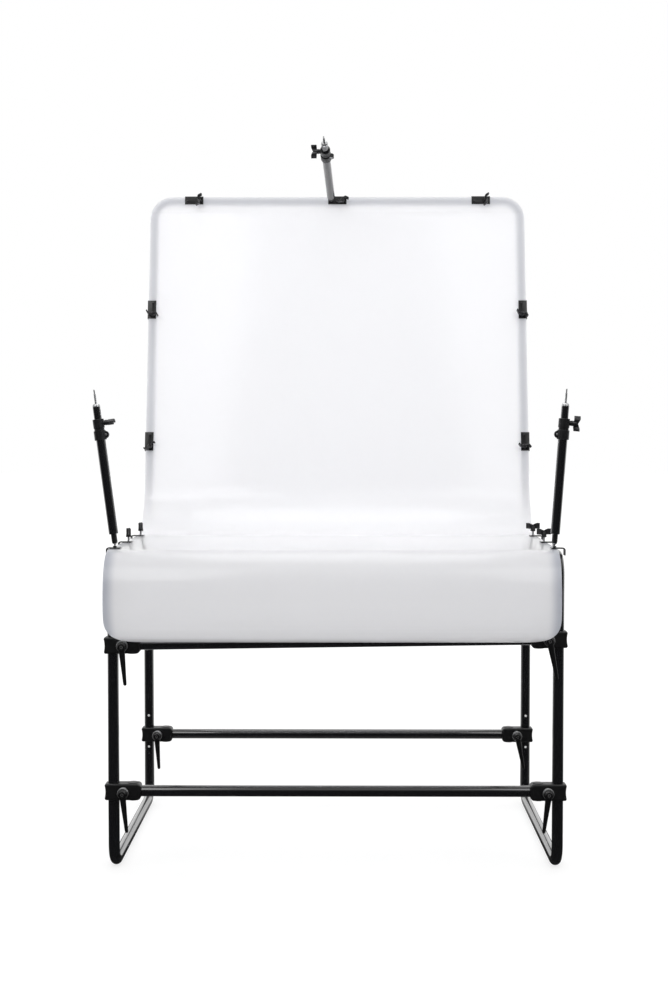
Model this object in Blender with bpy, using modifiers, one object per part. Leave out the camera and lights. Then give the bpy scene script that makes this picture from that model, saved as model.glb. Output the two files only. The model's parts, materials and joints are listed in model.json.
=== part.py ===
"""A still-life shooting table: two bent tube side loops, three crossbars in lever clamps, an opal
sheet swept from a tilting backrest over the table and down the front, and three accessory arms.

X runs to the right, Y to the back and Z up, in metres. The origin is on the floor, below the
middle of the table's bounding box. Lengths along Y are counted from the front legs' axes.
"""

import math

import bmesh
import bpy
from mathutils import Matrix, Vector

GAP = 0.0003  # between pieces that touch
SCREW_CLEARANCE = 0.0004
SLIDE_CLEARANCE = 0.0006  # between a clamp and the leg that it slides on

# Side loops, crossbars and their places
TUBE_RADIUS = 0.0125
TUBE_WALL = 0.0015
RAIL_FROM_EDGE = 0.0015  # from the sheet's edge in to the rail's axis
LEG_DEPTH = 0.64
BEND_RADIUS = 0.045
TABLE_TOP = 0.723
FRONT_LEGS_Y = -0.337  # from the origin
FRONT_LOWER_BAR_Z = 0.178
REAR_LOWER_BAR_Z = 0.182
FRONT_UPPER_BAR_Z = 0.515
UPPER_BAR_SLOPE = math.radians(0.8)  # its right end sits higher
LEG_HOLE_RADIUS = 0.003
LEG_HOLE_HEIGHTS = {"low": 0.150, "high": 0.233}  # in the rear legs

# Tube clamps, seen from the front: from outside the leg to the crossbar's socket
CLAMP_OUTER_WALL = 0.0065
CLAMP_REACH = 0.062
CLAMP_HALF_HEIGHT = 0.0187
CLAMP_HALF_DEPTH = 0.0168
CLAMP_WAIST = 0.0018
CLAMP_CORNER = 0.0045
CLAMP_NOSE_CORNER = 0.0085
CLAMP_EDGE = 0.004
CLAMP_SLIT = 0.0012
CLAMP_SLIT_END = 0.046
SOCKET_START = 0.0305
SOCKET_PLUG_PLACE = 0.044
SOCKET_PLUG_RADIUS = 0.0122
SOCKET_PLUG_PROUD = 0.0012
BOLT_PLACE = 0.0240
BOLT_RADIUS = 0.004
BOLT_BOSS_RADIUS = 0.0078
BOLT_BOSS_HEIGHT = 0.0055
NUT_RADIUS = 0.0070
NUT_HEIGHT = 0.0056

# Clamping levers
WASHER_RADIUS = 0.0127
WASHER_HEIGHT = 0.0100
LEVER_HEAD_RADIUS = 0.0104
LEVER_HEAD_HEIGHT = 0.0060
LEVER_CAP_RADIUS = 0.0088
LEVER_CAP_HEIGHT = 0.0065
LEVER_LENGTH = 0.087
LEVER_ROOT_RADIUS = 0.0073
LEVER_TIP_RADIUS = 0.0037
LEVER_FLATNESS = 0.62

# The opal sheet
SHEET_WIDTH = 1.0
SHEET_THICKNESS = 0.003
SHEET_CROWN = 0.0002  # of the table's middle over its clipped sides
APRON_REACH = 0.094  # how far the apron bulges ahead of the front legs
APRON_BEND_DEPTH = 0.092
APRON_BEND_HEIGHT = 0.118
APRON_SQUARENESS = 2.5  # the power of the bend's superellipse, where 2 is round
APRON_CURL_RADIUS = 0.0904
APRON_CURL = math.radians(78.25)
APRON_CORNER = 0.090
APRON_SIDE_SHIFT = -0.007  # the loose end lies a little to the left
SWEEP_RADIUS = 0.158
BACKREST_CORNER = 0.060

# Backrest loop and its pivots
BACKREST_LEAN = math.radians(12)
BACKREST_HEIGHT = 0.886  # from the pivot to the sheet's top edge, along the backrest
PIVOT_FROM_REAR = 0.063  # ahead of the rear legs
PIVOT_ABOVE_RAIL = 0.0348  # from the rail's axis to the pivot's
BACK_TUBE_RADIUS = 0.0095
BACK_TUBE_WALL = 0.0012
BACK_TUBE_FROM_EDGE = 0.0115
PIVOT_PIN_RADIUS = 0.003
PIVOT_LOBE_RADIUS = 0.0125
PIVOT_EAR = 0.003
PIVOT_EAR_CLEARANCE = 0.001
BRACKET_RING_WALL = 0.0035
BRACKET_RING_LENGTH = 0.036
BRACKET_FOOT_LENGTH = 0.058

# Clips: hooked plates with wing knobs
PLATE_THICKNESS = 0.002
PLATE_BEND = 0.0016
BACK_PLATE_LENGTH = 0.049
BACK_PLATE_LAP = 0.0085  # inward from the tube's axis
BACK_PLATE_FLANGE = 0.010
BACK_KNOB_PLACE = 0.0135
RIVET_PLACE = -0.0175
RIVET_RADIUS = 0.003
RIVET_HEIGHT = 0.0014
SIDE_CLIP_HEIGHTS = {"upper": 0.574, "lower": 0.218}
TOP_CLIP_FROM_EDGE = 0.116
RAIL_PLATE_THICKNESS = 0.0025
RAIL_PLATE_WIDTH = 0.022
RAIL_PLATE_BEND = 0.004
TABLE_SCREW_X = -0.0088  # across from the rail's axis, inward
TABLE_SCREW_END = 0.005  # above the rail's axis, inside its tube
TABLE_PLATE_LAP = -0.0175
TABLE_PLATE_HOOK = 0.0110
TABLE_CLIP_FROM_FRONT = 0.20  # behind the front legs
TABLE_CLIP_FROM_REAR = 0.222  # ahead of the rear legs
TABLE_KNOB_STANDOFF = 0.010
SCREW_RADIUS = 0.0025

# Wing knobs
WING_SPAN = 0.0345
WING_THICKNESS = 0.0045
WING_HEIGHT = 0.0150
WING_START = 0.0055
WING_CURL = 0.0045
HUB_RADIUS = 0.0062
HUB_HEIGHT = 0.0125
BACK_WING_TURNS = {  # in degrees from level, seen from the front
    "top_left": 65,
    "top_right": 70,
    "upper_left": -22,
    "upper_right": -30,
    "lower_left": 32,
    "lower_right": -14,
    "arm_bracket": 10,
}
TABLE_WING_TURNS = {"left": 90, "right": 0}
ARM_WING_TURNS = {"left": 90, "right": 0, "top": 75}

# Accessory arms, along the arm from the centre of its ball
ARM_Y = 0.015
ARM_FROM_RAIL = {"left": -0.0035, "right": -0.0085}
ARM_SCREW_END = -0.004  # above the rail's axis, inside the tube's bend
ARM_PLATE_LAP = -0.0165
ARM_PLATE_HOOK = 0.0160
ARM_LEANS = {"left": math.radians(-7.4), "right": math.radians(4.2)}
TOP_ARM_LEAN = math.radians(-6.6)
TOP_ARM_SWIVEL = math.radians(24)
TOP_ARM_PLACE = -0.016
BALL_RADIUS = 0.004
BALL_NECK_RADIUS = 0.0018
BALL_ABOVE_PLATE = 0.0096
BALL_NUT_RADIUS = 0.0045
BALL_NUT_HEIGHT = 0.003
BALL_CLEARANCE = 0.0003
SOCKET_RIM = math.radians(10)  # below the ball's equator
ARM_PLUG_RADIUS = 0.0064
ARM_PLUG_NOSE_RADIUS = 0.0054
ARM_PLUG_LENGTH = 0.0205
ARM_TUBE_RADIUS = 0.0105
ARM_TUBE_LENGTH = 0.212
ARM_BORE_RADIUS = 0.0090
COLLAR_LENGTH = 0.047
COLLAR_RADIUS = 0.0135
COLLAR_TOP_RADIUS = 0.0125
COLLAR_WAIST_RADIUS = 0.0113
COLLAR_EAR_RADIUS = 0.0085
COLLAR_EAR_PLACE = 0.0115
COLLAR_EAR_THICKNESS = 0.009
COLLAR_LUG_RADIUS = 0.0058
COLLAR_LUG_REACH = 0.0150
ARM_KNOB_FROM_TOP = 0.0095
ROD_RADIUS = 0.0085
ROD_WALL = 0.0013
ROD_SHOWN = 0.035
ROD_INSERTED = 0.210
TIP_RADIUS = 0.0025
TIP_POINT_RADIUS = 0.0017
TIP_LENGTH = 0.0315

# Facets
TUBE_SIDES = 16
BEND_STEPS = 4
TURN_STEPS = 12
HOLE_SIDES = 10
BORE_SIDES = 14
SWEEP_STEPS = 14

RAIL_X = SHEET_WIDTH / 2 - RAIL_FROM_EDGE
PIVOT_Y = LEG_DEPTH - PIVOT_FROM_REAR
TABLE_CLIP_Y = {"front": TABLE_CLIP_FROM_FRONT, "rear": LEG_DEPTH - TABLE_CLIP_FROM_REAR}
TOP_CLIP_X = SHEET_WIDTH / 2 - TOP_CLIP_FROM_EDGE
RAIL_Z = TABLE_TOP - SHEET_THICKNESS - GAP - TUBE_RADIUS
PIVOT_Z = RAIL_Z + PIVOT_ABOVE_RAIL
BACK_TUBE_X = SHEET_WIDTH / 2 - BACK_TUBE_FROM_EDGE
BACK_TUBE_TOP = BACKREST_HEIGHT - BACK_TUBE_FROM_EDGE
BACK_FACE = BACK_TUBE_RADIUS + GAP + SHEET_THICKNESS  # the sheet's face, ahead of the tube's axis
RAIL_PLATE_TOP = TUBE_RADIUS + GAP + SHEET_THICKNESS + GAP + RAIL_PLATE_THICKNESS

FACE_UP_FRONT = Matrix.Rotation(math.pi / 2, 4, "X")  # a flat outline's +Z to the front, +Y up


def around(radius, sides=HOLE_SIDES):
    """The radius of a faceted hole whose flats stay outside a circle."""
    return radius / math.cos(math.pi / sides)


def collection(name):
    group = bpy.data.collections.new(name)
    bpy.context.scene.collection.children.link(group)
    return group


def material(name, colour, roughness, metallic=0.0):
    made = bpy.data.materials.new(name)
    made.use_nodes = True
    shader = made.node_tree.nodes["Principled BSDF"]
    shader.inputs["Base Color"].default_value = (*colour, 1.0)
    shader.inputs["Roughness"].default_value = roughness
    shader.inputs["Metallic"].default_value = metallic
    return made


def place(name, mesh, finish, parent=None, matrix=None):
    """A named piece in the object's collection, from a mesh that others may share."""
    piece = bpy.data.objects.new(name, mesh)
    bpy.data.collections[OBJECT_NAME].objects.link(piece)
    if not mesh.materials:
        mesh.materials.append(finish)
    if parent:
        piece.parent = parent
    if matrix:
        piece.matrix_basis = matrix
    return piece


def pivot(name, matrix, parent=None):
    """An empty on a joint's axis."""
    empty = bpy.data.objects.new(name, None)
    empty.empty_display_size = 0.03
    bpy.data.collections[OBJECT_NAME].objects.link(empty)
    if parent:
        empty.parent = parent
    empty.matrix_basis = matrix
    return empty


def scratch(name, data):
    """A helper object that is read once and removed by taken()."""
    helper = bpy.data.objects.new(name, data)
    bpy.context.scene.collection.objects.link(helper)
    return helper


def taken(helper, name):
    """The mesh of a helper as its modifiers leave it, with loose caps welded."""
    for modifier in helper.modifiers:
        if modifier.type == "BOOLEAN":
            modifier.object.hide_set(False)
    graph = bpy.context.evaluated_depsgraph_get()
    mesh = bpy.data.meshes.new_from_object(helper.evaluated_get(graph))
    mesh.name = name
    tools = [m.object for m in helper.modifiers if m.type == "BOOLEAN"]
    for used in [helper, *tools]:
        bpy.data.objects.remove(used)
    welded = bmesh.new()
    welded.from_mesh(mesh)
    bmesh.ops.remove_doubles(welded, verts=welded.verts, dist=1e-6)
    welded.to_mesh(mesh)
    welded.free()
    mesh.shade_smooth()
    mesh.set_sharp_from_angle(angle=math.radians(35))
    return mesh


def tube(name, points, radius, sides=TUBE_SIDES, closed=False, widths=None):
    """The mesh of a round tube along points, as a curve with a bevel and filled caps."""
    data = bpy.data.curves.new(name, "CURVE")
    data.dimensions = "3D"
    data.bevel_depth = radius
    data.bevel_resolution = (sides - 4) // 2
    data.use_fill_caps = not closed
    spline = data.splines.new("POLY")
    spline.points.add(len(points) - 1)
    for i, point in enumerate(points):
        spline.points[i].co = (*point, 1.0)
        spline.points[i].radius = widths[i] if widths else 1.0
    spline.use_cyclic_u = closed
    return taken(scratch(name, data), name)


def cylinder(name, start, end, radius, sides=HOLE_SIDES):
    """The mesh of a straight cylinder between two points."""
    start, end = Vector(start), Vector(end)
    made = bmesh.new()
    bmesh.ops.create_cone(
        made,
        cap_ends=True,
        segments=sides,
        radius1=radius,
        radius2=radius,
        depth=(end - start).length,
        matrix=Matrix.Translation((start + end) / 2)
        @ (end - start).to_track_quat("Z", "Y").to_matrix().to_4x4(),
    )
    mesh = bpy.data.meshes.new(name)
    made.to_mesh(mesh)
    made.free()
    return mesh


def box(name, low, high):
    """The mesh of a box between two corners."""
    low, high = Vector(low), Vector(high)
    made = bmesh.new()
    bmesh.ops.create_cube(
        made,
        size=1.0,
        matrix=Matrix.Translation((low + high) / 2) @ Matrix.Diagonal((*(high - low), 1.0)),
    )
    mesh = bpy.data.meshes.new(name)
    made.to_mesh(mesh)
    made.free()
    return mesh


def turned(name, profile, steps=TURN_STEPS, ring=False):
    """The mesh of a profile turned about Z. The profile runs down its outer side."""
    mesh = bpy.data.meshes.new(name)
    edges = [(i, i + 1) for i in range(len(profile) - 1)]
    if ring:
        edges.append((len(profile) - 1, 0))
    mesh.from_pydata([(radius, 0.0, z) for radius, z in profile], edges, [])
    helper = scratch(name, mesh)
    screw = helper.modifiers.new("turn", "SCREW")
    screw.steps = steps
    screw.render_steps = steps
    screw.use_merge_vertices = True
    screw.merge_threshold = 1e-6
    return taken(helper, name)


def plate(name, outline, half_thickness):
    """The mesh of a flat outline in XY, thickened both ways along Z."""
    data = bpy.data.curves.new(name, "CURVE")
    data.dimensions = "2D"
    data.fill_mode = "BOTH"
    data.extrude = half_thickness
    spline = data.splines.new("POLY")
    spline.points.add(len(outline) - 1)
    for i, (x, y) in enumerate(outline):
        spline.points[i].co = (x, y, 0.0, 1.0)
    spline.use_cyclic_u = True
    return taken(scratch(name, data), name)


def combined(name, base, steps, edge=0.0):
    """A mesh with its edges rounded, then joined with or cut by other meshes in order."""
    helper = scratch(name, base)
    if edge:
        bevel = helper.modifiers.new("edges", "BEVEL")
        bevel.width = edge
        bevel.segments = 2
        bevel.limit_method = "ANGLE"
        bevel.angle_limit = math.radians(50)
    for operation, mesh in steps:
        boolean = helper.modifiers.new(operation, "BOOLEAN")
        boolean.operation = operation
        boolean.object = scratch(f"{name}_{operation}", mesh)
    return taken(helper, name)


def cut(piece, name, mesh, matrix=None):
    """Cuts a placed piece with a cutter that stays in the cutters' collection."""
    cutter = bpy.data.objects.new(name, mesh)
    bpy.data.collections["cutters"].objects.link(cutter)
    cutter.hide_render = True
    cutter.display_type = "WIRE"
    cutter.parent = piece.parent
    if matrix:
        cutter.matrix_basis = matrix
    boolean = piece.modifiers.new(name, "BOOLEAN")
    boolean.operation = "DIFFERENCE"
    boolean.object = cutter


def rounded_path(corners, radii, steps=BEND_STEPS, closed=False):
    """The corner points in 3D, with each bend rounded to its radius."""
    path = []
    for i, corner in enumerate(corners):
        here = Vector(corner)
        if not closed and i in (0, len(corners) - 1):
            path.append(here)
            continue
        radius = radii[i]
        back = (Vector(corners[i - 1]) - here).normalized()
        ahead = (Vector(corners[(i + 1) % len(corners)]) - here).normalized()
        half = back.angle(ahead) / 2
        centre = here + (back + ahead).normalized() * radius / math.sin(half)
        first = here + back * radius / math.tan(half) - centre
        last = here + ahead * radius / math.tan(half) - centre
        axis = first.cross(last)
        for step in range(steps + 1):
            turn = Matrix.Rotation(first.angle(last) * step / steps, 3, axis)
            path.append(centre + turn @ first)
    return path


def strip(name, path, half_width, thickness):
    """The mesh of a bent strap: a path in XZ, drawn out along Y and thickened both ways."""
    made = bmesh.new()
    near = [made.verts.new((x, -half_width, z)) for x, _, z in path]
    edges = [made.edges.new(pair) for pair in zip(near, near[1:])]
    drawn = bmesh.ops.extrude_edge_only(made, edges=edges)
    far = [v for v in drawn["geom"] if isinstance(v, bmesh.types.BMVert)]
    bmesh.ops.translate(made, vec=(0, 2 * half_width, 0), verts=far)
    mesh = bpy.data.meshes.new(name)
    made.to_mesh(mesh)
    made.free()
    helper = scratch(name, mesh)
    wall = helper.modifiers.new("wall", "SOLIDIFY")
    wall.thickness = thickness
    wall.offset = 0.0
    wall.use_even_offset = True
    return taken(helper, name)


def mirrored(mesh, name):
    """A copy of a mesh for the other side, mirrored in X."""
    other = bmesh.new()
    other.from_mesh(mesh)
    bmesh.ops.scale(other, vec=(-1, 1, 1), verts=other.verts)
    bmesh.ops.reverse_faces(other, faces=other.faces)
    copy = bpy.data.meshes.new(name)
    other.to_mesh(copy)
    other.free()
    copy.shade_smooth()
    copy.set_sharp_from_angle(angle=math.radians(35))
    return copy


def side_frame(side, sign, finish):
    """One loop of bent tube, hollow, with the rear leg's two small cross holes."""
    x = sign * RAIL_X
    front, rear = FRONT_LEGS_Y, FRONT_LEGS_Y + LEG_DEPTH
    floor, rail = TUBE_RADIUS, RAIL_Z
    corners = [(x, front, floor), (x, rear, floor), (x, rear, rail), (x, front, rail)]
    path = rounded_path(corners, [BEND_RADIUS] * 4, closed=True)
    outer = tube("frame_outer", path, TUBE_RADIUS, closed=True)
    inner = tube("frame_inner", path, TUBE_RADIUS - TUBE_WALL, sides=8, closed=True)
    shell = bmesh.new()
    shell.from_mesh(inner)
    bmesh.ops.reverse_faces(shell, faces=shell.faces)
    shell.from_mesh(outer)
    mesh = bpy.data.meshes.new(f"side_frame_{side}")
    shell.to_mesh(mesh)
    shell.free()
    mesh.shade_smooth()
    frame = place(f"side_frame_{side}", mesh, finish)
    reach = 2 * TUBE_RADIUS
    for word, z in LEG_HOLE_HEIGHTS.items():
        drill = cylinder("leg_drill", (x, rear - reach, z), (x, rear + reach, z), LEG_HOLE_RADIUS)
        cut(frame, f"leg_hole_{word}_{side}", drill)
    return frame


def clamp_mesh():
    """A double tube clamp for the left side: the leg's bore, the bolt and the crossbar's socket.

    X runs inward from the leg's axis, Y up and Z to the front.
    """
    outer = -(TUBE_RADIUS + CLAMP_OUTER_WALL)
    half = CLAMP_HALF_HEIGHT
    low_outer = outer, -half
    outline = []
    waist_half = half - CLAMP_CORNER
    for step in range(5):
        t = 1 - step / 2  # from the top corner to the bottom one
        outline.append((outer + CLAMP_WAIST * (1 - t * t), t * waist_half))
    outline.append((low_outer[0] + CLAMP_CORNER, low_outer[1]))
    for step in range(3):
        a = math.radians(-90 + 45 * step)
        centre = CLAMP_REACH - CLAMP_NOSE_CORNER, -half + CLAMP_NOSE_CORNER
        outline.append(
            (
                centre[0] + CLAMP_NOSE_CORNER * math.cos(a),
                centre[1] + CLAMP_NOSE_CORNER * math.sin(a),
            )
        )
    for step in range(3):
        a = math.radians(45 * step)
        centre = CLAMP_REACH - CLAMP_NOSE_CORNER, half - CLAMP_NOSE_CORNER
        outline.append(
            (
                centre[0] + CLAMP_NOSE_CORNER * math.cos(a),
                centre[1] + CLAMP_NOSE_CORNER * math.sin(a),
            )
        )
    outline.append((outer + CLAMP_CORNER, half))
    body = plate("clamp_block", outline, CLAMP_HALF_DEPTH)
    plug_half = half + SOCKET_PLUG_PROUD
    plug = cylinder(
        "socket_plug",
        (SOCKET_PLUG_PLACE, -plug_half, 0),
        (SOCKET_PLUG_PLACE, plug_half, 0),
        SOCKET_PLUG_RADIUS,
        BORE_SIDES,
    )
    boss = cylinder(
        "bolt_boss",
        (BOLT_PLACE, 0, CLAMP_HALF_DEPTH / 2),
        (BOLT_PLACE, 0, CLAMP_HALF_DEPTH + BOLT_BOSS_HEIGHT),
        BOLT_BOSS_RADIUS,
        TURN_STEPS,
    )
    leg = cylinder(
        "leg_bore",
        (0, -2 * half, 0),
        (0, 2 * half, 0),
        around(TUBE_RADIUS + SLIDE_CLEARANCE, BORE_SIDES),
        BORE_SIDES,
    )
    socket = cylinder(
        "bar_socket",
        (SOCKET_START, 0, 0),
        (2 * CLAMP_REACH, 0, 0),
        around(TUBE_RADIUS + GAP, BORE_SIDES),
        BORE_SIDES,
    )
    bolt = cylinder(
        "bolt_hole",
        (BOLT_PLACE, 0, -2 * CLAMP_HALF_DEPTH),
        (BOLT_PLACE, 0, 2 * CLAMP_HALF_DEPTH),
        around(BOLT_RADIUS + SCREW_CLEARANCE),
    )
    slit = box(
        "slit",
        (2 * outer, -2 * half, -CLAMP_SLIT / 2),
        (CLAMP_SLIT_END, 2 * half, CLAMP_SLIT / 2),
    )
    steps = [
        ("UNION", plug),
        ("UNION", boss),
        ("DIFFERENCE", leg),
        ("DIFFERENCE", socket),
        ("DIFFERENCE", bolt),
        ("DIFFERENCE", slit),
    ]
    return combined("clamp_left", body, steps, edge=CLAMP_EDGE)


def lever_mesh():
    """A clamping lever with its washer, bolt and nut. Z runs out of the clamp, -Y down the handle."""
    front = CLAMP_HALF_DEPTH + BOLT_BOSS_HEIGHT + GAP
    washer = front + WASHER_HEIGHT
    head = washer + LEVER_HEAD_HEIGHT
    cap = head + LEVER_CAP_HEIGHT
    back = -(CLAMP_HALF_DEPTH + GAP)
    round_edge = 0.0022
    profile = [
        (0, cap),
        (LEVER_CAP_RADIUS - round_edge, cap),
        (LEVER_CAP_RADIUS, cap - round_edge),
        (LEVER_HEAD_RADIUS - 0.0006, head),
        (LEVER_HEAD_RADIUS, head - 0.001),
        (LEVER_HEAD_RADIUS, washer),
        (WASHER_RADIUS, washer - 0.0006),
        (WASHER_RADIUS, front),
        (BOLT_RADIUS, front),
        (BOLT_RADIUS, back),
        (NUT_RADIUS, back),
        (NUT_RADIUS, back - NUT_HEIGHT),
        (0, back - NUT_HEIGHT),
    ]
    core = turned("lever_core", profile)
    # The handle's section shrinks to its tip and ends in a small dome.
    stations = [0.0, 0.35, 0.7, 0.955, 0.985, 1.0]
    shrink = [1.0, 0.82, 0.66, 0.51, 0.36, 0.12]
    points = [(0, -LEVER_LENGTH * s, 0) for s in stations]
    tip_share = LEVER_TIP_RADIUS / LEVER_ROOT_RADIUS
    shrink[3] = tip_share
    handle = tube("lever_handle", points, LEVER_ROOT_RADIUS, sides=10, widths=shrink)
    flat = Matrix.Translation((0, 0, washer + LEVER_ROOT_RADIUS * LEVER_FLATNESS + GAP))
    handle.transform(flat @ Matrix.Diagonal((1, 1, LEVER_FLATNESS, 1)))
    return combined("lever", core, [("UNION", handle)])


def crossbar_mesh():
    half = RAIL_X - SOCKET_START - GAP
    inner = TUBE_RADIUS - TUBE_WALL
    profile = [(TUBE_RADIUS, half), (TUBE_RADIUS, -half), (inner, -half), (inner, half)]
    mesh = turned("crossbar", profile, steps=TUBE_SIDES, ring=True)
    mesh.transform(Matrix.Rotation(math.pi / 2, 4, "Y"))
    return mesh


def crossbar_group(name, y, z, slope, lever_angles, meshes, finishes):
    """A crossbar with its two clamps and levers, on an empty at the bar's middle."""
    middle = pivot(
        f"bar_{name}",
        Matrix.Translation((0, FRONT_LEGS_Y + y, z)) @ Matrix.Rotation(-slope, 4, "Y"),
    )
    place(f"crossbar_{name}", meshes["crossbar"], finishes["tube"], middle)
    for side, sign in (("left", -1), ("right", 1)):
        leg = Matrix.Translation((sign * RAIL_X, 0, 0)) @ FACE_UP_FRONT
        place(f"clamp_{name}_{side}", meshes[f"clamp_{side}"], finishes["clamp"], middle, leg)
        hub = Matrix.Translation((sign * (RAIL_X - BOLT_PLACE), 0, 0)) @ FACE_UP_FRONT
        turn = Matrix.Rotation(math.radians(lever_angles[side]), 4, "Z")
        place(f"lever_{name}_{side}", meshes["lever"], finishes["lever"], middle, hub @ turn)


def apron_point(turn):
    """The apron's front face at an angle past its foremost line, towards the lip."""
    foremost = TABLE_TOP - APRON_BEND_HEIGHT
    y = -APRON_REACH + APRON_CURL_RADIUS * (1 - math.cos(turn))
    return y, foremost - APRON_CURL_RADIUS * math.sin(turn)


def sheet_stations():
    """(inset, y, z) along the sheet's upper face for its three stretches, from lip to top edge."""
    front = []
    corner_steps = 6
    for step in range(corner_steps + 1):
        a = math.pi / 2 * step / corner_steps
        along = APRON_CORNER * (1 - math.cos(a))
        inset = APRON_CORNER * (1 - math.sin(a))
        front.append((inset, *apron_point(APRON_CURL - along / APRON_CURL_RADIUS)))
    left_over = APRON_CURL - APRON_CORNER / APRON_CURL_RADIUS
    front += [(0.0, *apron_point(left_over * share)) for share in (0.5, 0.0)]
    bend_end = APRON_BEND_DEPTH - APRON_REACH
    for step in range(1, 11):
        a = math.pi / 2 * step / 10
        y = bend_end - APRON_BEND_DEPTH * max(0.0, math.cos(a)) ** (2 / APRON_SQUARENESS)
        z = TABLE_TOP - APRON_BEND_HEIGHT * (1 - math.sin(a) ** (2 / APRON_SQUARENESS))
        front.append((0.0, y, z))
    turn = math.pi / 2 - BACKREST_LEAN
    # Where the backrest's face would meet the table's plane, ahead of the loop's axis
    face_y = PIVOT_Y - BACK_FACE / math.cos(BACKREST_LEAN)
    meet = face_y - (PIVOT_Z - TABLE_TOP) * math.tan(BACKREST_LEAN)
    sweep_y = meet - SWEEP_RADIUS * math.tan(turn / 2)
    front.append((0.0, sweep_y - GAP, TABLE_TOP))
    sweep = []
    for step in range(SWEEP_STEPS + 1):
        a = turn * step / SWEEP_STEPS
        y = sweep_y + SWEEP_RADIUS * math.sin(a)
        sweep.append((0.0, y, TABLE_TOP + SWEEP_RADIUS * (1 - math.cos(a))))
    # The back panel's stations are heights along the backrest, from its pivot.
    end_y, end_z = sweep[-1][1] - PIVOT_Y, sweep[-1][2] - PIVOT_Z
    height = end_y * math.sin(BACKREST_LEAN) + end_z * math.cos(BACKREST_LEAN)
    back = [(0.0, -BACK_FACE, height + GAP)]
    for step in range(corner_steps + 1):
        a = math.pi / 2 * (1 - step / corner_steps)
        along = BACKREST_HEIGHT - BACKREST_CORNER * (1 - math.cos(a))
        back.append((BACKREST_CORNER * (1 - math.sin(a)), -BACK_FACE, along))
    return front, sweep, back


def sheet_mesh(name, stations, shift, clear_half=None):
    """A stretch of the sheet, from its upper face down through its thickness.

    clear_half is half the width of a middle panel that no clip reaches.
    """
    made = bmesh.new()
    rows = []
    for inset, y, z in stations:
        half = SHEET_WIDTH / 2 - inset
        across = [-half, -clear_half, clear_half, half] if clear_half else [-half, half]
        crown = {True: SHEET_CROWN, False: 0.0}
        heights = [z + crown[abs(x) == clear_half] for x in across]
        rows.append([made.verts.new((shift(y) + x, y, h)) for x, h in zip(across, heights)])
    for row, after in zip(rows, rows[1:]):
        for i in range(len(row) - 1):
            made.faces.new((row[i], row[i + 1], after[i + 1], after[i]))
    mesh = bpy.data.meshes.new(name)
    made.to_mesh(mesh)
    made.free()
    helper = scratch(name, mesh)
    wall = helper.modifiers.new("thickness", "SOLIDIFY")
    wall.thickness = SHEET_THICKNESS
    wall.offset = -1.0
    wall.use_even_offset = True
    return taken(helper, name)


def sheet(finish, backrest):
    """The sheet as three stretches, the last one on the backrest."""
    front, sweep, back = sheet_stations()
    sweep_y = front[-1][1]

    def shift(y):
        along = (sweep_y - y) / (sweep_y + APRON_REACH)
        return APRON_SIDE_SHIFT * max(0.0, along)

    clear_half = SHEET_WIDTH / 2 - 1.2 * APRON_CORNER
    table = place("sheet_table", sheet_mesh("sheet_table", front, shift, clear_half), finish)
    table.location.y = FRONT_LEGS_Y
    middle = place("sheet_sweep", sheet_mesh("sheet_sweep", sweep, lambda y: 0.0), finish)
    middle.location.y = FRONT_LEGS_Y
    panel = sheet_mesh("sheet_backrest", back, lambda y: 0.0)
    return table, place("sheet_backrest", panel, finish, backrest)


def backrest_loop(finish, backrest):
    """The inverted U behind the sheet, hollow, with its pivot holes."""
    bottom = -(PIVOT_LOBE_RADIUS - 0.001)
    corners = [
        (-BACK_TUBE_X, 0, bottom),
        (-BACK_TUBE_X, 0, BACK_TUBE_TOP),
        (BACK_TUBE_X, 0, BACK_TUBE_TOP),
        (BACK_TUBE_X, 0, bottom),
    ]
    bend = BACKREST_CORNER - BACK_TUBE_FROM_EDGE
    path = rounded_path(corners, [bend] * 4, steps=6)
    outer = tube("loop", path, BACK_TUBE_RADIUS, sides=12)
    past = [path[0] + Vector((0, 0, -0.01)), *path[1:-1], path[-1] + Vector((0, 0, -0.01))]
    inner = tube("loop_bore", past, BACK_TUBE_RADIUS - BACK_TUBE_WALL, sides=8)
    steps = [("DIFFERENCE", inner)]
    for sign in (-1, 1):
        x = sign * BACK_TUBE_X
        reach = 2 * BACK_TUBE_RADIUS
        hole = around(PIVOT_PIN_RADIUS + SCREW_CLEARANCE)
        steps.append(
            ("DIFFERENCE", cylinder("pin_hole", (x - reach, 0, 0), (x + reach, 0, 0), hole))
        )
    return place("backrest_frame", combined("backrest_frame", outer, steps), finish, backrest)


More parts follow.
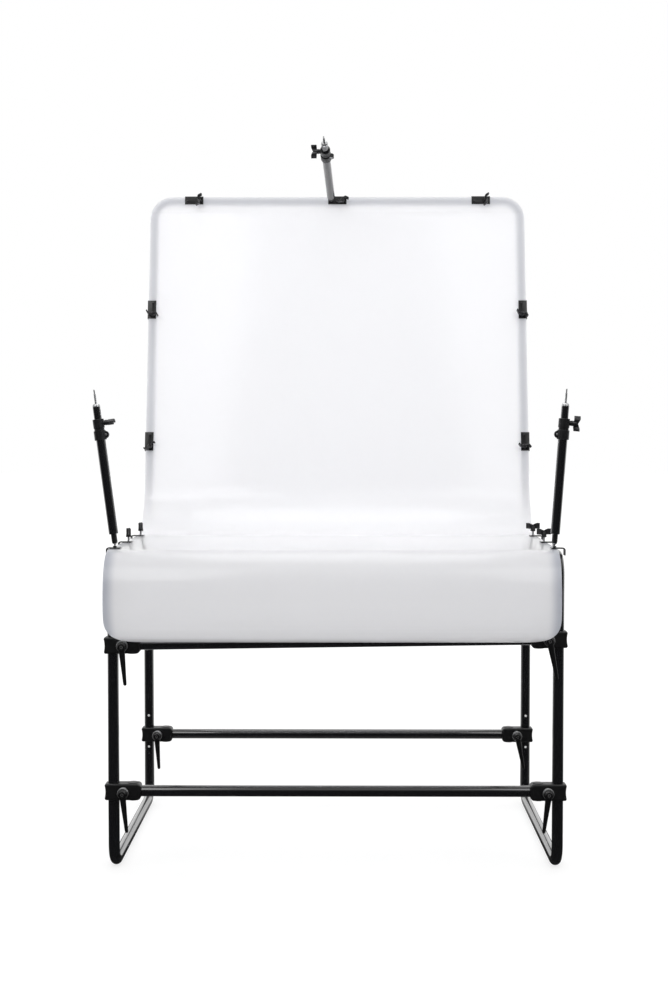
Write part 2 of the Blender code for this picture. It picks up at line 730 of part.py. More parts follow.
def pivot_bracket(side, sign, finish):
    """A ring round the rail with a fork that holds the backrest loop on a pin."""
    x = sign * RAIL_X
    tube_x = sign * BACK_TUBE_X
    y = FRONT_LEGS_Y + PIVOT_Y
    ring_end = y - PIVOT_LOBE_RADIUS
    ring_start = ring_end - BRACKET_RING_LENGTH
    ring = cylinder(
        "ring", (x, ring_start, RAIL_Z), (x, ring_end, RAIL_Z), TUBE_RADIUS + BRACKET_RING_WALL, 20
    )
    # The fork's side outline, in Y and Z from the pivot's axis: a lobe on a long foot
    foot_low = RAIL_Z + TUBE_RADIUS + SLIDE_CLEARANCE - PIVOT_Z
    foot_high = foot_low + 0.0060
    foot_start = PIVOT_LOBE_RADIUS - BRACKET_FOOT_LENGTH
    outline = [(foot_start, foot_low), (PIVOT_LOBE_RADIUS, foot_low)]
    for step in range(9):
        a = math.radians(22.5 * step)
        outline.append((PIVOT_LOBE_RADIUS * math.cos(a), PIVOT_LOBE_RADIUS * math.sin(a)))
    outline += [(-PIVOT_LOBE_RADIUS - 0.004, foot_high), (foot_start, foot_high)]
    half_slot = BACK_TUBE_RADIUS + PIVOT_EAR_CLEARANCE
    fork = plate("fork", outline, half_slot + PIVOT_EAR)
    upright = Matrix(((0, 0, 1, tube_x), (1, 0, 0, y), (0, 1, 0, PIVOT_Z), (0, 0, 0, 1)))
    fork.transform(upright)
    slot_low = PIVOT_Z - PIVOT_LOBE_RADIUS
    slot = box(
        "slot",
        (tube_x - half_slot, y - 0.018, slot_low - 0.0042),
        (tube_x + half_slot, y + 0.03, PIVOT_Z + 0.03),
    )
    pin_half = half_slot + PIVOT_EAR + 0.002
    pin = cylinder(
        "pin", (tube_x - pin_half, y, PIVOT_Z), (tube_x + pin_half, y, PIVOT_Z), PIVOT_PIN_RADIUS
    )
    bore = cylinder(
        "rail_bore",
        (x, ring_start - 0.1, RAIL_Z),
        (x, ring_end + 0.1, RAIL_Z),
        around(TUBE_RADIUS + GAP, TUBE_SIDES),
        TUBE_SIDES,
    )
    steps = [
        ("DIFFERENCE", slot),
        ("UNION", ring),
        ("UNION", pin),
        ("DIFFERENCE", bore),
    ]
    name = f"pivot_bracket_{side}"
    place(name, combined(name, fork, steps), finish)


def wing_knob_mesh(name, reach, standoff=0.0):
    """A wing knob with its screw. Z runs out of the seat, and the screw reaches below it."""
    base = standoff
    hub = [
        (0, base + HUB_HEIGHT),
        (HUB_RADIUS * 0.7, base + HUB_HEIGHT),
        (HUB_RADIUS * 0.9, base + HUB_HEIGHT * 0.75),
        (HUB_RADIUS, base + 0.001),
        (HUB_RADIUS - 0.001, base),
        (SCREW_RADIUS, base),
        (SCREW_RADIUS, -reach),
        (0, -reach),
    ]
    core = turned("hub", hub, steps=HOLE_SIDES)
    # The wings' plan is an S with round ends.
    half = (WING_SPAN - WING_THICKNESS) / 2
    centre_line = []
    for step in range(7):
        t = -1 + step / 3
        centre_line.append(Vector((half * t, WING_CURL * math.sin(math.pi * t))))
    left, right = [], []
    for i, point in enumerate(centre_line):
        ahead = centre_line[min(i + 1, 6)] - centre_line[max(i - 1, 0)]
        normal = Vector((-ahead.y, ahead.x)).normalized() * WING_THICKNESS / 2
        left.append(point + normal)
        right.append(point - normal)
    tip = (centre_line[-1] - centre_line[-2]).normalized() * WING_THICKNESS / 2
    root = -tip
    outline = [*right, centre_line[-1] + tip, *reversed(left), centre_line[0] + root]
    wings = plate("wings", [tuple(p) for p in outline], WING_HEIGHT / 2)
    wings.transform(Matrix.Translation((0, 0, base + WING_START + WING_HEIGHT / 2)))
    return combined(name, core, [("UNION", wings)])


def back_plate_mesh(name, rivet):
    """A hooked plate over the sheet's edge. X runs along the tube, Y outward and Z to the front.

    The tube's axis is the X axis.
    """
    level = BACK_FACE + GAP + PLATE_THICKNESS / 2
    hook = BACK_TUBE_FROM_EDGE + SCREW_CLEARANCE + PLATE_THICKNESS / 2
    corners = [(-BACK_PLATE_LAP, 0, level), (hook, 0, level), (hook, 0, level - BACK_PLATE_FLANGE)]
    path = rounded_path(corners, [0, PLATE_BEND, 0], steps=3)
    mesh = strip("hook", path, BACK_PLATE_LENGTH / 2, PLATE_THICKNESS)
    # The strip is drawn out along Y, and the plate along X.
    mesh.transform(Matrix(((0, -1, 0, 0), (1, 0, 0, 0), (0, 0, 1, 0), (0, 0, 0, 1))))
    front = level + PLATE_THICKNESS / 2
    hole = around(SCREW_RADIUS + SCREW_CLEARANCE)
    drill = cylinder("drill", (BACK_KNOB_PLACE, 0, 0), (BACK_KNOB_PLACE, 0, 2 * front), hole)
    steps = [("DIFFERENCE", drill)]
    if rivet:
        dome = [
            (0, front + RIVET_HEIGHT),
            (RIVET_RADIUS * 0.65, front + RIVET_HEIGHT * 0.8),
            (RIVET_RADIUS, front - PLATE_THICKNESS / 4),
            (0, front - PLATE_THICKNESS / 4),
        ]
        head = turned("rivet", dome, steps=10)
        head.transform(Matrix.Translation((RIVET_PLACE, 0, 0)))
        steps.append(("UNION", head))
    return combined(name, mesh, steps)


def on_back_tube(x, height, outward):
    """A clip's place on the backrest loop, from the backrest's pivot frame.

    outward is the side that the clip hooks over: up, left or right.
    """
    out = {"up": Vector((0, 0, 1)), "left": Vector((-1, 0, 0)), "right": Vector((1, 0, 0))}
    y_axis = out[outward]
    z_axis = Vector((0, -1, 0))
    x_axis = y_axis.cross(z_axis)
    turn = Matrix((x_axis, y_axis, z_axis)).transposed().to_4x4()
    return Matrix.Translation((x, 0, height)) @ turn


def back_clips(backrest, panel, loop, meshes, finishes):
    """Six hooked plates with wing knobs round the backrest, and their holes in sheet and tube."""
    seat = BACK_FACE + GAP + PLATE_THICKNESS + GAP
    level = {"up": 0, "left": 90, "right": -90}  # from level to each clip's own X axis
    places = []
    for side, sign in (("left", -1), ("right", 1)):
        places.append((f"top_{side}", sign * TOP_CLIP_X, BACK_TUBE_TOP, "up", 1))
        down = 1 if side == "right" else -1
        for word, height in SIDE_CLIP_HEIGHTS.items():
            places.append((f"{word}_{side}", sign * BACK_TUBE_X, height, side, down))
    for name, x, height, outward, toward in places:
        clip = on_back_tube(x, height, outward)
        if toward < 0:
            clip = clip @ Matrix.Diagonal((-1, 1, 1, 1))
        mesh = meshes["back_plate" if toward > 0 else "back_plate_turned"]
        kept = clip if toward > 0 else clip @ Matrix.Diagonal((-1, 1, 1, 1))
        place(f"back_clip_{name}", mesh, finishes["plate"], backrest, kept)
        screw = on_back_tube(x, height, outward) @ Matrix.Translation(
            (toward * BACK_KNOB_PLACE, 0, seat)
        )
        wing = BACK_WING_TURNS[name] - level[outward]
        spin = Matrix.Rotation(math.radians(wing), 4, "Z")
        place(f"back_knob_{name}", meshes["back_knob"], finishes["knob"], backrest, screw @ spin)
        back_screw_hole(name, screw, panel, loop)


def back_screw_hole(name, screw, panel, loop):
    """Drills a wing knob's hole through the sheet and into the tube's front wall."""
    hole = around(SCREW_RADIUS + SCREW_CLEARANCE)
    drill = cylinder("screw_drill", (0, 0, -BACK_FACE), (0, 0, 0.01), hole)
    cut(panel, f"sheet_hole_{name}", drill, screw)
    cut(loop, f"tube_hole_{name}", drill, screw)


def rail_plate_mesh(name, lap, hook, screw_x):
    """A flat plate on the sheet, with a screw hole, whose outer end hooks down beside the rail.

    X runs outward from the rail's axis, for the right side, and Z up.
    """
    reach = TUBE_RADIUS + GAP + RAIL_PLATE_THICKNESS / 2
    level = RAIL_PLATE_TOP - RAIL_PLATE_THICKNESS / 2
    corners = [(lap, 0, level), (reach, 0, level), (reach, 0, level - hook)]
    path = rounded_path(corners, [0, RAIL_PLATE_BEND, 0], steps=4)
    mesh = strip("rail_plate", path, RAIL_PLATE_WIDTH / 2, RAIL_PLATE_THICKNESS)
    hole = around(SCREW_RADIUS + SCREW_CLEARANCE)
    drill = cylinder("drill", (screw_x, 0, 0), (screw_x, 0, 2 * level), hole)
    return combined(name, mesh, [("DIFFERENCE", drill)])


def rail_screw_hole(name, seat, reach, table, frame):
    """Drills a screw's hole through the sheet and into the rail, from the plate's upper face."""
    hole = around(SCREW_RADIUS + SCREW_CLEARANCE)
    drill = cylinder("rail_drill", (0, 0, -reach - SCREW_CLEARANCE), (0, 0, TUBE_WALL), hole)
    cut(table, f"sheet_hole_{name}", drill, seat)
    cut(frame, f"rail_hole_{name}", drill, seat)


def table_clips(table, frames, meshes, finishes):
    """Four plates with wing knobs that hold the sheet down, each screwed into its rail."""
    for side, sign in (("left", -1), ("right", 1)):
        for word, y in TABLE_CLIP_Y.items():
            rail = Matrix.Translation((sign * RAIL_X, FRONT_LEGS_Y + y, RAIL_Z))
            name = f"{word}_{side}"
            place(f"table_clip_{name}", meshes[f"table_plate_{side}"], finishes["plate"], None, rail)
            seat = rail @ Matrix.Translation((sign * TABLE_SCREW_X, 0, RAIL_PLATE_TOP))
            spin = Matrix.Rotation(math.radians(TABLE_WING_TURNS[side]), 4, "Z")
            screw = seat @ Matrix.Translation((0, 0, GAP)) @ spin
            place(f"table_knob_{name}", meshes["table_knob"], finishes["knob"], None, screw)
            rail_screw_hole(name, seat, RAIL_PLATE_TOP - TABLE_SCREW_END, table, frames[side])


def ball_mesh(name, shank=0.0):
    """A ball on a neck, a nut and perhaps a shank, with the ball's centre at the origin."""
    neck = math.asin(BALL_NECK_RADIUS / BALL_RADIUS)
    bottom = -(BALL_ABOVE_PLATE - GAP)
    profile = [(0, BALL_RADIUS)]
    for step in range(1, 7):
        a = (math.pi - neck) * step / 6
        profile.append((BALL_RADIUS * math.sin(a), BALL_RADIUS * math.cos(a)))
    profile += [
        (BALL_NECK_RADIUS, bottom + BALL_NUT_HEIGHT),
        (BALL_NUT_RADIUS, bottom + BALL_NUT_HEIGHT),
        (BALL_NUT_RADIUS, bottom),
    ]
    if shank:
        profile += [(SCREW_RADIUS, bottom), (SCREW_RADIUS, bottom - shank)]
    profile.append((0, bottom - shank))
    return turned(name, profile, steps=TURN_STEPS)


def arm_tube_mesh(name, knob_angle, ear_angle):
    """The outer tube with its socket plug below and its two-part collar above, bored through."""
    cavity = BALL_RADIUS + BALL_CLEARANCE + 0.0002
    plug_top = ARM_PLUG_LENGTH
    tube_top = plug_top + ARM_TUBE_LENGTH
    collar_top = tube_top + COLLAR_LENGTH
    waist_low = tube_top + COLLAR_LENGTH * 0.46
    waist_high = tube_top + COLLAR_LENGTH * 0.56
    rim = -cavity * math.sin(SOCKET_RIM)
    profile = [
        (0, collar_top),
        (COLLAR_TOP_RADIUS, collar_top),
        (COLLAR_TOP_RADIUS, waist_high + 0.001),
        (COLLAR_WAIST_RADIUS, waist_high),
        (COLLAR_WAIST_RADIUS, waist_low),
        (COLLAR_RADIUS, waist_low - 0.001),
        (COLLAR_RADIUS, tube_top),
        (ARM_TUBE_RADIUS, tube_top),
        (ARM_TUBE_RADIUS, plug_top),
        (ARM_PLUG_RADIUS, plug_top),
        (ARM_PLUG_RADIUS, 0.003),
        (ARM_PLUG_NOSE_RADIUS, rim),
    ]
    for step in range(5):
        a = -SOCKET_RIM + (math.pi / 2 + SOCKET_RIM) * step / 4
        radius = 0.0 if step == 4 else cavity * math.cos(a)
        profile.append((radius, cavity * math.sin(a)))
    body = turned("arm_body", profile, steps=14)
    knob_z = collar_top - ARM_KNOB_FROM_TOP
    knob = Vector((math.cos(knob_angle), math.sin(knob_angle), 0))
    at_knob = Vector((0, 0, knob_z))
    lug = cylinder("lug", at_knob + knob * 0.0098, at_knob + knob * COLLAR_LUG_REACH, COLLAR_LUG_RADIUS)
    out = Vector((math.cos(ear_angle), math.sin(ear_angle), 0))
    across = Vector((-out.y, out.x, 0)) * COLLAR_EAR_THICKNESS / 2
    centre = Vector((0, 0, (tube_top + waist_low) / 2)) + out * COLLAR_EAR_PLACE
    ear = cylinder("ear", centre - across, centre + across, COLLAR_EAR_RADIUS, TURN_STEPS)
    bore = cylinder(
        "bore", (0, 0, plug_top + 0.003), (0, 0, collar_top + 0.01), ARM_BORE_RADIUS, 14
    )
    hole = around(SCREW_RADIUS + SCREW_CLEARANCE)
    drill = cylinder("drill", at_knob, at_knob + knob * 0.03, hole)
    steps = [
        ("UNION", lug),
        ("UNION", ear),
        ("DIFFERENCE", bore),
        ("DIFFERENCE", drill),
    ]
    return combined(name, body, steps)


def rod_mesh():
    """The inner tube with its closed top and thin stud, open below."""
    collar_top = ARM_PLUG_LENGTH + ARM_TUBE_LENGTH + COLLAR_LENGTH
    top = collar_top + ROD_SHOWN
    bottom = collar_top - ROD_INSERTED
    inner = ROD_RADIUS - ROD_WALL
    tip = top + TIP_LENGTH
    profile = [
        (0, tip),
        (TIP_POINT_RADIUS, tip),
        (TIP_POINT_RADIUS, tip - TIP_LENGTH * 0.3),
        (TIP_RADIUS, tip - TIP_LENGTH * 0.33),
        (TIP_RADIUS, top),
        (ROD_RADIUS - 0.0015, top),
        (ROD_RADIUS, top - 0.0015),
        (ROD_RADIUS, bottom),
        (inner, bottom),
        (inner, top - 0.006),
        (0, top - 0.006),
    ]
    return turned("arm_rod", profile, steps=14)


def arm(name, base, lean_axis, lean, knob_angle, ear_angle, meshes, finishes, parent=None):
    """An accessory arm on its ball. base places the ball's centre, with Z along its neck."""
    swivel = pivot(f"arm_swivel_{name}", base, parent)
    ball = "ball" if parent else "ball_with_shank"
    place(f"arm_ball_{name}", meshes[ball], finishes["steel"], swivel)
    tilt = pivot(f"arm_tilt_{name}", Matrix.Rotation(lean, 4, lean_axis), swivel)
    outer = arm_tube_mesh(f"arm_tube_{name}", knob_angle, ear_angle)
    place(f"arm_tube_{name}", outer, finishes["tube"], tilt)
    place(f"arm_rod_{name}", meshes["rod"], finishes["tube"], tilt)
    knob_z = ARM_PLUG_LENGTH + ARM_TUBE_LENGTH + COLLAR_LENGTH - ARM_KNOB_FROM_TOP
    out = Matrix.Rotation(knob_angle, 4, "Z") @ Matrix.Rotation(math.pi / 2, 4, "Y")
    seat = Matrix.Translation((0, 0, knob_z)) @ out @ Matrix.Translation(
        (0, 0, COLLAR_LUG_REACH + GAP)
    )
    spin = Matrix.Rotation(math.radians(ARM_WING_TURNS[name]), 4, "Z")
    place(f"arm_knob_{name}", meshes["arm_knob"], finishes["knob"], tilt, seat @ spin)


def front_arms(table, frames, meshes, finishes):
    """The two arms at the front corners, on plates screwed into the bends of the side loops."""
    for side, sign in (("left", -1), ("right", 1)):
        rail = Matrix.Translation((sign * RAIL_X, FRONT_LEGS_Y + ARM_Y, RAIL_Z))
        place(f"arm_bracket_{side}", meshes[f"arm_plate_{side}"], finishes["plate"], None, rail)
        seat = rail @ Matrix.Translation((sign * ARM_FROM_RAIL[side], 0, RAIL_PLATE_TOP))
        rail_screw_hole(f"arm_{side}", seat, RAIL_PLATE_TOP - ARM_SCREW_END, table, frames[side])
        ball = seat @ Matrix.Translation((0, 0, BALL_ABOVE_PLATE))
        ear = 0.0 if side == "left" else math.pi
        arm(side, ball, "Y", ARM_LEANS[side], 0.0, ear, meshes, finishes)


def top_arm(backrest, panel, loop, meshes, finishes):
    """The third arm, on a plate at the middle of the backrest's top, leaning to the front."""
    clip = on_back_tube(0.0, BACK_TUBE_TOP, "up")
    place("arm_bracket_top", meshes["top_plate"], finishes["plate"], backrest, clip)
    front = BACK_FACE + GAP + PLATE_THICKNESS
    screw = clip @ Matrix.Translation((BACK_KNOB_PLACE, 0, front + GAP))
    spin = Matrix.Rotation(math.radians(BACK_WING_TURNS["arm_bracket"]), 4, "Z")
    place("arm_bracket_knob", meshes["back_knob"], finishes["knob"], backrest, screw @ spin)
    back_screw_hole("arm_bracket", screw, panel, loop)
    ball = clip @ Matrix.Translation((TOP_ARM_PLACE, 0, front + BALL_ABOVE_PLATE))
    turned_ball = ball @ Matrix.Rotation(TOP_ARM_SWIVEL, 4, "Z")
    knob_angle = math.pi - TOP_ARM_SWIVEL
    ear_angle = -TOP_ARM_SWIVEL
    arm("top", turned_ball, "X", TOP_ARM_LEAN, knob_angle, ear_angle, meshes, finishes, backrest)


def shared_meshes():
    """The meshes that several pieces share."""
    clamp = clamp_mesh()
    table_plate = rail_plate_mesh(
        "table_plate_right", TABLE_PLATE_LAP, TABLE_PLATE_HOOK, TABLE_SCREW_X
    )
    arm_plates = {
        side: rail_plate_mesh(f"arm_plate_{side}", ARM_PLATE_LAP, ARM_PLATE_HOOK, place_x)
        for side, place_x in ARM_FROM_RAIL.items()
    }
    back_plate = back_plate_mesh("back_plate", rivet=True)
    back_reach = GAP + PLATE_THICKNESS + GAP + SHEET_THICKNESS + BACK_TUBE_RADIUS
    clear_of_rod = COLLAR_LUG_REACH - ROD_RADIUS - SCREW_CLEARANCE
    table_reach = RAIL_PLATE_TOP + GAP - TABLE_SCREW_END
    arm_shank = RAIL_PLATE_TOP + GAP - ARM_SCREW_END
    return {
        "crossbar": crossbar_mesh(),
        "clamp_left": clamp,
        "clamp_right": mirrored(clamp, "clamp_right"),
        "lever": lever_mesh(),
        "table_plate_right": table_plate,
        "table_plate_left": mirrored(table_plate, "table_plate_left"),
        "arm_plate_right": arm_plates["right"],
        "arm_plate_left": mirrored(arm_plates["left"], "arm_plate_left"),
        "back_plate": back_plate,
        "back_plate_turned": mirrored(back_plate, "back_plate_turned"),
        "top_plate": back_plate_mesh("top_plate", rivet=False),
        "back_knob": wing_knob_mesh("back_knob", back_reach),
        "table_knob": wing_knob_mesh("table_knob", table_reach, TABLE_KNOB_STANDOFF),
        "arm_knob": wing_knob_mesh("arm_knob", clear_of_rod),
        "ball": ball_mesh("ball"),
        "ball_with_shank": ball_mesh("ball_with_shank", arm_shank),
        "rod": rod_mesh(),
    }


def build():
    for old in list(bpy.data.objects):
        bpy.data.objects.remove(old)
    collection(OBJECT_NAME)
    collection("cutters")
    finishes = {
        "tube": material("gloss_black_tube", (0.012, 0.012, 0.014), 0.18),
        "clamp": material("moulded_black_clamp", (0.016, 0.016, 0.018), 0.45),
        "lever": material("black_lever", (0.014, 0.014, 0.016), 0.35),
        "plate": material("black_steel_plate", (0.018, 0.018, 0.02), 0.4, 0.3),
        "knob": material("black_wing_knob", (0.012, 0.012, 0.013), 0.4),
        "steel": material("bright_steel", (0.62, 0.62, 0.64), 0.25, 1.0),
        "sheet": material("opal_acrylic", (0.84, 0.84, 0.85), 0.12),
    }
    meshes = shared_meshes()
    frames = {}
    for side, sign in (("left", -1), ("right", 1)):
        frames[side] = side_frame(side, sign, finishes["tube"])
        pivot_bracket(side, sign, finishes["plate"])
    bars = [
        ("front_lower", 0.0, FRONT_LOWER_BAR_Z, 0.0, {"left": 6.3, "right": -7.5}),
        ("rear_lower", LEG_DEPTH, REAR_LOWER_BAR_Z, 0.0, {"left": 3.7, "right": 10.9}),
        ("front_upper", 0.0, FRONT_UPPER_BAR_Z, UPPER_BAR_SLOPE, {"left": 4.3, "right": 10.2}),
    ]
    for name, y, z, slope, lever_angles in bars:
        crossbar_group(name, y, z, slope, lever_angles, meshes, finishes)
    lean = Matrix.Rotation(-BACKREST_LEAN, 4, "X")
    hinge = Matrix.Translation((0, FRONT_LEGS_Y + PIVOT_Y, PIVOT_Z)) @ lean
    backrest = pivot("backrest_tilt", hinge)
    table, panel = sheet(finishes["sheet"], backrest)
    loop = backrest_loop(finishes["tube"], backrest)
    back_clips(backrest, panel, loop, meshes, finishes)
    table_clips(table, frames, meshes, finishes)
    front_arms(table, frames, meshes, finishes)
    top_arm(backrest, panel, loop, meshes, finishes)


OBJECT_NAME = "photo_shooting_table"

build()
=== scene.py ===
"""The finished look of the photo shooting table: tubes, opal sheet, levers, knobs and arms."""

import json
import math

import bmesh
import bpy
from mathutils import Matrix, Vector


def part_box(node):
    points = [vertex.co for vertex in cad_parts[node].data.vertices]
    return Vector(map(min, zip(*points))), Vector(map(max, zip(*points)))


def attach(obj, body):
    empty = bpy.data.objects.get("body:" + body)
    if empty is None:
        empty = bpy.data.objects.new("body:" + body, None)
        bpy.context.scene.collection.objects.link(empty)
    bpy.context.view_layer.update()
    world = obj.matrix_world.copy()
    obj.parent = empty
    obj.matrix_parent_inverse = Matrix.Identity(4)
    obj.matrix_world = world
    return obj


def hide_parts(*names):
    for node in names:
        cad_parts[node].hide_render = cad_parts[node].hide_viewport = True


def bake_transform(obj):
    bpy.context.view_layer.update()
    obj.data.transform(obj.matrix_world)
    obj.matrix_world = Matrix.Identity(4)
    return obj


bl_info = {
    "name": "Photo Shooting Table",
    "version": (1, 0, 0),
    "blender": (4, 5, 0),
    "location": "3D View > Sidebar > Shooting Table",
    "description": "Dresses the packed shooting table with its finished pieces and a studio",
    "category": "Object",
}

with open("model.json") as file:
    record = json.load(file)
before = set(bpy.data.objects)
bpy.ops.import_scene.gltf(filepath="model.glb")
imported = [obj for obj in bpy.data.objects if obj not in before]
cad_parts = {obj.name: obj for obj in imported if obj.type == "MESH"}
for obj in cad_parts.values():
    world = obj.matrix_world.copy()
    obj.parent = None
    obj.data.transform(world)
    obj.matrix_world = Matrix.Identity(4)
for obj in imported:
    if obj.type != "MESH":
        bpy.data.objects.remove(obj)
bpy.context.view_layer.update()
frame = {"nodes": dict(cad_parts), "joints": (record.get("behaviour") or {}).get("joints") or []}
JOINTS = {joint["name"]: joint for joint in frame["joints"]}

LOOP_LOW, LOOP_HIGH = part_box("side_frame_right")
LEG_X = (LOOP_LOW[0] + LOOP_HIGH[0]) / 2
TUBE_RADIUS = (LOOP_HIGH[0] - LOOP_LOW[0]) / 2
FRONT_Y = LOOP_LOW[1] + TUBE_RADIUS
LEG_DEPTH = LOOP_HIGH[1] - TUBE_RADIUS - FRONT_Y
SHEET_THICKNESS = 0.003
GAP = 0.0003
TABLE_TOP = LOOP_HIGH[2] + GAP + SHEET_THICKNESS
BOLT_FROM_LEG = 0.0240
SOCKET_FROM_BOLT = 0.0065
CURL_STEPS, BEND_STEPS, TABLE_STEPS, SWEEP_STEPS, BACK_STEPS = 12, 32, 6, 32, 12
WHITE = (1.0, 1.0, 1.0, 1.0)
RAMP = ("Value", "From Min", "From Max", "To Min", "To Max")
SIDES = ("left", "right")
BARS = ("front_lower", "rear_lower", "front_upper")
BACK_CLIPS = tuple(f"{height}_{side}" for height in ("top", "upper", "lower") for side in SIDES)
TABLE_CLIPS = tuple(f"{place}_{side}" for place in ("front", "rear") for side in SIDES)


def length(name, description, default):
    return bpy.props.FloatProperty(
        name=name, description=description, default=default, subtype="DISTANCE", unit="LENGTH"
    )


def angle(name, description, degrees):
    return bpy.props.FloatProperty(
        name=name, description=description, default=math.radians(degrees), subtype="ANGLE"
    )


def colour(name, description, code):
    return bpy.props.StringProperty(name=name, description=description, default=code)


class TableSizes(bpy.types.PropertyGroup):
    """Sizes of the table's finished pieces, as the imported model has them."""

    tube: length("Stand tube", "Radius of the side loops and crossbars", TUBE_RADIUS)
    bend: length("Stand bend", "Radius of the side loops' corners", 0.045)
    back_tube: length("Backrest tube", "Radius of the backrest loop", 0.0095)
    back_x: length("Backrest leg", "Distance of the loop's legs from the middle", 0.4885)
    back_top: length("Backrest top", "Height of the loop's top tube above its pivot", 0.8745)
    back_bend: length("Backrest bend", "Radius of the loop's two corners", 0.0485)
    lean: angle("Backrest lean", "Lean of the backrest from upright", 12.0)
    sheet_width: length("Sheet width", "Width of the opal sheet", 1.0)
    sheet_top: length("Sheet top", "Height of the sheet's edge above the pivot", 0.886)
    sheet_corner: length("Top corner", "Radius of the sheet's upper corners", 0.060)
    apron_corner: length("Apron corner", "Radius of the sheet's front corners", 0.090)
    apron_depth: length("Front bend depth", "Depth of the sheet's front bend", 0.092)
    apron_height: length("Front bend height", "Height of the sheet's front bend", 0.118)
    apron_power: bpy.props.FloatProperty(
        name="Front bend squareness", description="Power of its superellipse", default=2.5
    )
    apron_reach: length("Apron reach", "How far the sheet bulges ahead of the legs", 0.094)
    curl_radius: length("Apron curl", "Radius of the sheet's inward curl", 0.0904)
    curl: angle("Curl angle", "Turn of the inward curl", 78.25)
    sweep: length("Sweep radius", "Radius of the sheet's rear sweep", 0.158)
    side_shift: length("Apron shift", "How far the loose front lies to the left", 0.007)
    wing_span: length("Wing span", "Span of a wing knob", 0.0345)
    wing_thickness: length("Wing thickness", "Thickness of a wing knob's wings", 0.0045)
    lever: length("Lever length", "From a lever's bolt to its tip", 0.087)


class TableColours(bpy.types.PropertyGroup):
    """Colours of the table's finishes, and of the shade painted on the opal sheet, as sRGB hex
    codes.
    """

    tube: colour("Tube", "Gloss powder coat of the tubes", "#111114")
    clamp: colour("Clamp", "Glass-filled nylon of the clamps", "#101012")
    lever: colour("Lever", "Satin nylon of the levers", "#0C0C0E")
    plate: colour("Plate", "Painted spring steel of the clips", "#0A0A0C")
    knob: colour("Knob", "Moulded plastic of the wing knobs", "#18181B")
    zinc: colour("Zinc", "Zinc plating of screws, washers and balls", "#C9CACB")
    acrylic: colour("Acrylic", "Opal acrylic of the sheet", "#F8F8FA")
    # Painted shade: the sheet's hanging front is coloured darker, as it has less light behind it
    painted_apron_shade: colour("Apron", "Opal acrylic where it hangs, with less light behind it", "#E9E9EB")
    # Painted shadow: the colour the sheet takes where the loops behind it would shade it
    painted_loop_shadow: colour("Band", "Opal acrylic over the dark loop behind it", "#858DA0")


def linear(code):
    """The linear colour of an sRGB hex code."""
    channels = []
    for start in (1, 3, 5):
        value = int(code[start : start + 2], 16) / 255
        channels.append(value / 12.92 if value <= 0.04045 else ((value + 0.055) / 1.055) ** 2.4)
    return (*channels, 1.0)


def per_mm(size):
    """The texture scale whose features are this many millimetres wide."""
    return 1000.0 / size


def add_node(tree, kind, inputs=None, **settings):
    """Adds a node with its settings. An input is a value or another node's output."""
    node = tree.nodes.new(kind)
    for name, value in settings.items():
        setattr(node, name, value)
    for name, value in (inputs or {}).items():
        if isinstance(value, bpy.types.NodeSocket):
            tree.links.new(value, node.inputs[name])
        else:
            node.inputs[name].default_value = value
    return node


def bare_tree(owner):
    """The emptied node tree of a material or a world."""
    owner.use_nodes = True
    owner.node_tree.nodes.clear()
    return owner.node_tree


def surface(name, shader_inputs, grain, roughness, cloud_mm=60.0):
    """A finish with a grained surface and a roughness that drifts a little over the piece.

    grain is the grain's width and height in millimetres, and roughness is its middle value and
    how far it drifts to each side of that, in clouds of cloud_mm.
    """
    if name in bpy.data.materials:
        return bpy.data.materials[name]
    made = bpy.data.materials.new(name)
    tree = bare_tree(made)
    place = add_node(tree, "ShaderNodeTexCoord").outputs["Object"]
    heights = []
    for width_mm, detail, sharpness in ((grain[0], 2.0, 0.5), (cloud_mm, 4.0, 0.6)):
        noise = {"Scale": per_mm(width_mm), "Detail": detail, "Roughness": sharpness}
        noise = add_node(tree, "ShaderNodeTexNoise", {"Vector": place, **noise})
        heights.append(noise.outputs["Fac"])
    middle, spread = roughness
    ramp = (heights[1], 0.3, 0.7, middle - spread, middle + spread)
    drift = add_node(tree, "ShaderNodeMapRange", dict(zip(RAMP, ramp)))
    bump = {"Height": heights[0], "Distance": grain[1] / 1000, "Strength": 1.0}
    bump = add_node(tree, "ShaderNodeBump", bump)
    shader = add_node(
        tree,
        "ShaderNodeBsdfPrincipled",
        {"Roughness": drift.outputs["Result"], "Normal": bump.outputs["Normal"], **shader_inputs},
    )
    add_node(tree, "ShaderNodeOutputMaterial", {"Surface": shader.outputs["BSDF"]})
    return made


def powder_coat(colours):
    """Polyester powder coat, cured on steel tube: deep black gloss with a faint orange peel."""
    return surface(
        "gloss_powder_coat",
        {
            "Base Color": linear(colours.tube),
            "IOR": 1.5,
            "Coat Weight": 1.0,
            "Coat IOR": 1.6,
            "Coat Roughness": 0.08,
        },
        grain=(6.0, 0.004),
        roughness=(0.22, 0.03),
    )


def filled_nylon(colours):
    """Glass-filled nylon, injection moulded: a spark-eroded matte skin that scatters highlights."""
    return surface(
        "glass_filled_nylon",
        {"Base Color": linear(colours.clamp), "IOR": 1.53},
        grain=(0.6, 0.03),
        roughness=(0.40, 0.05),
        cloud_mm=12.0,
    )


def satin_nylon(colours):
    """Nylon, moulded in a finer tool than the clamps: a soft sheen along the handle."""
    return surface(
        "satin_nylon",
        {"Base Color": linear(colours.lever), "IOR": 1.53},
        grain=(0.4, 0.02),
        roughness=(0.33, 0.04),
        cloud_mm=15.0,
    )


def painted_spring_steel(colours):
    """Pressed spring steel under thin satin enamel: flat, with brighter, sharper edges."""
    return surface(
        "painted_spring_steel",
        {
            "Base Color": linear(colours.plate),
            "IOR": 1.5,
            "Coat Weight": 0.3,
            "Coat Roughness": 0.25,
        },
        grain=(0.8, 0.02),
        roughness=(0.36, 0.06),
        cloud_mm=14.0,
    )


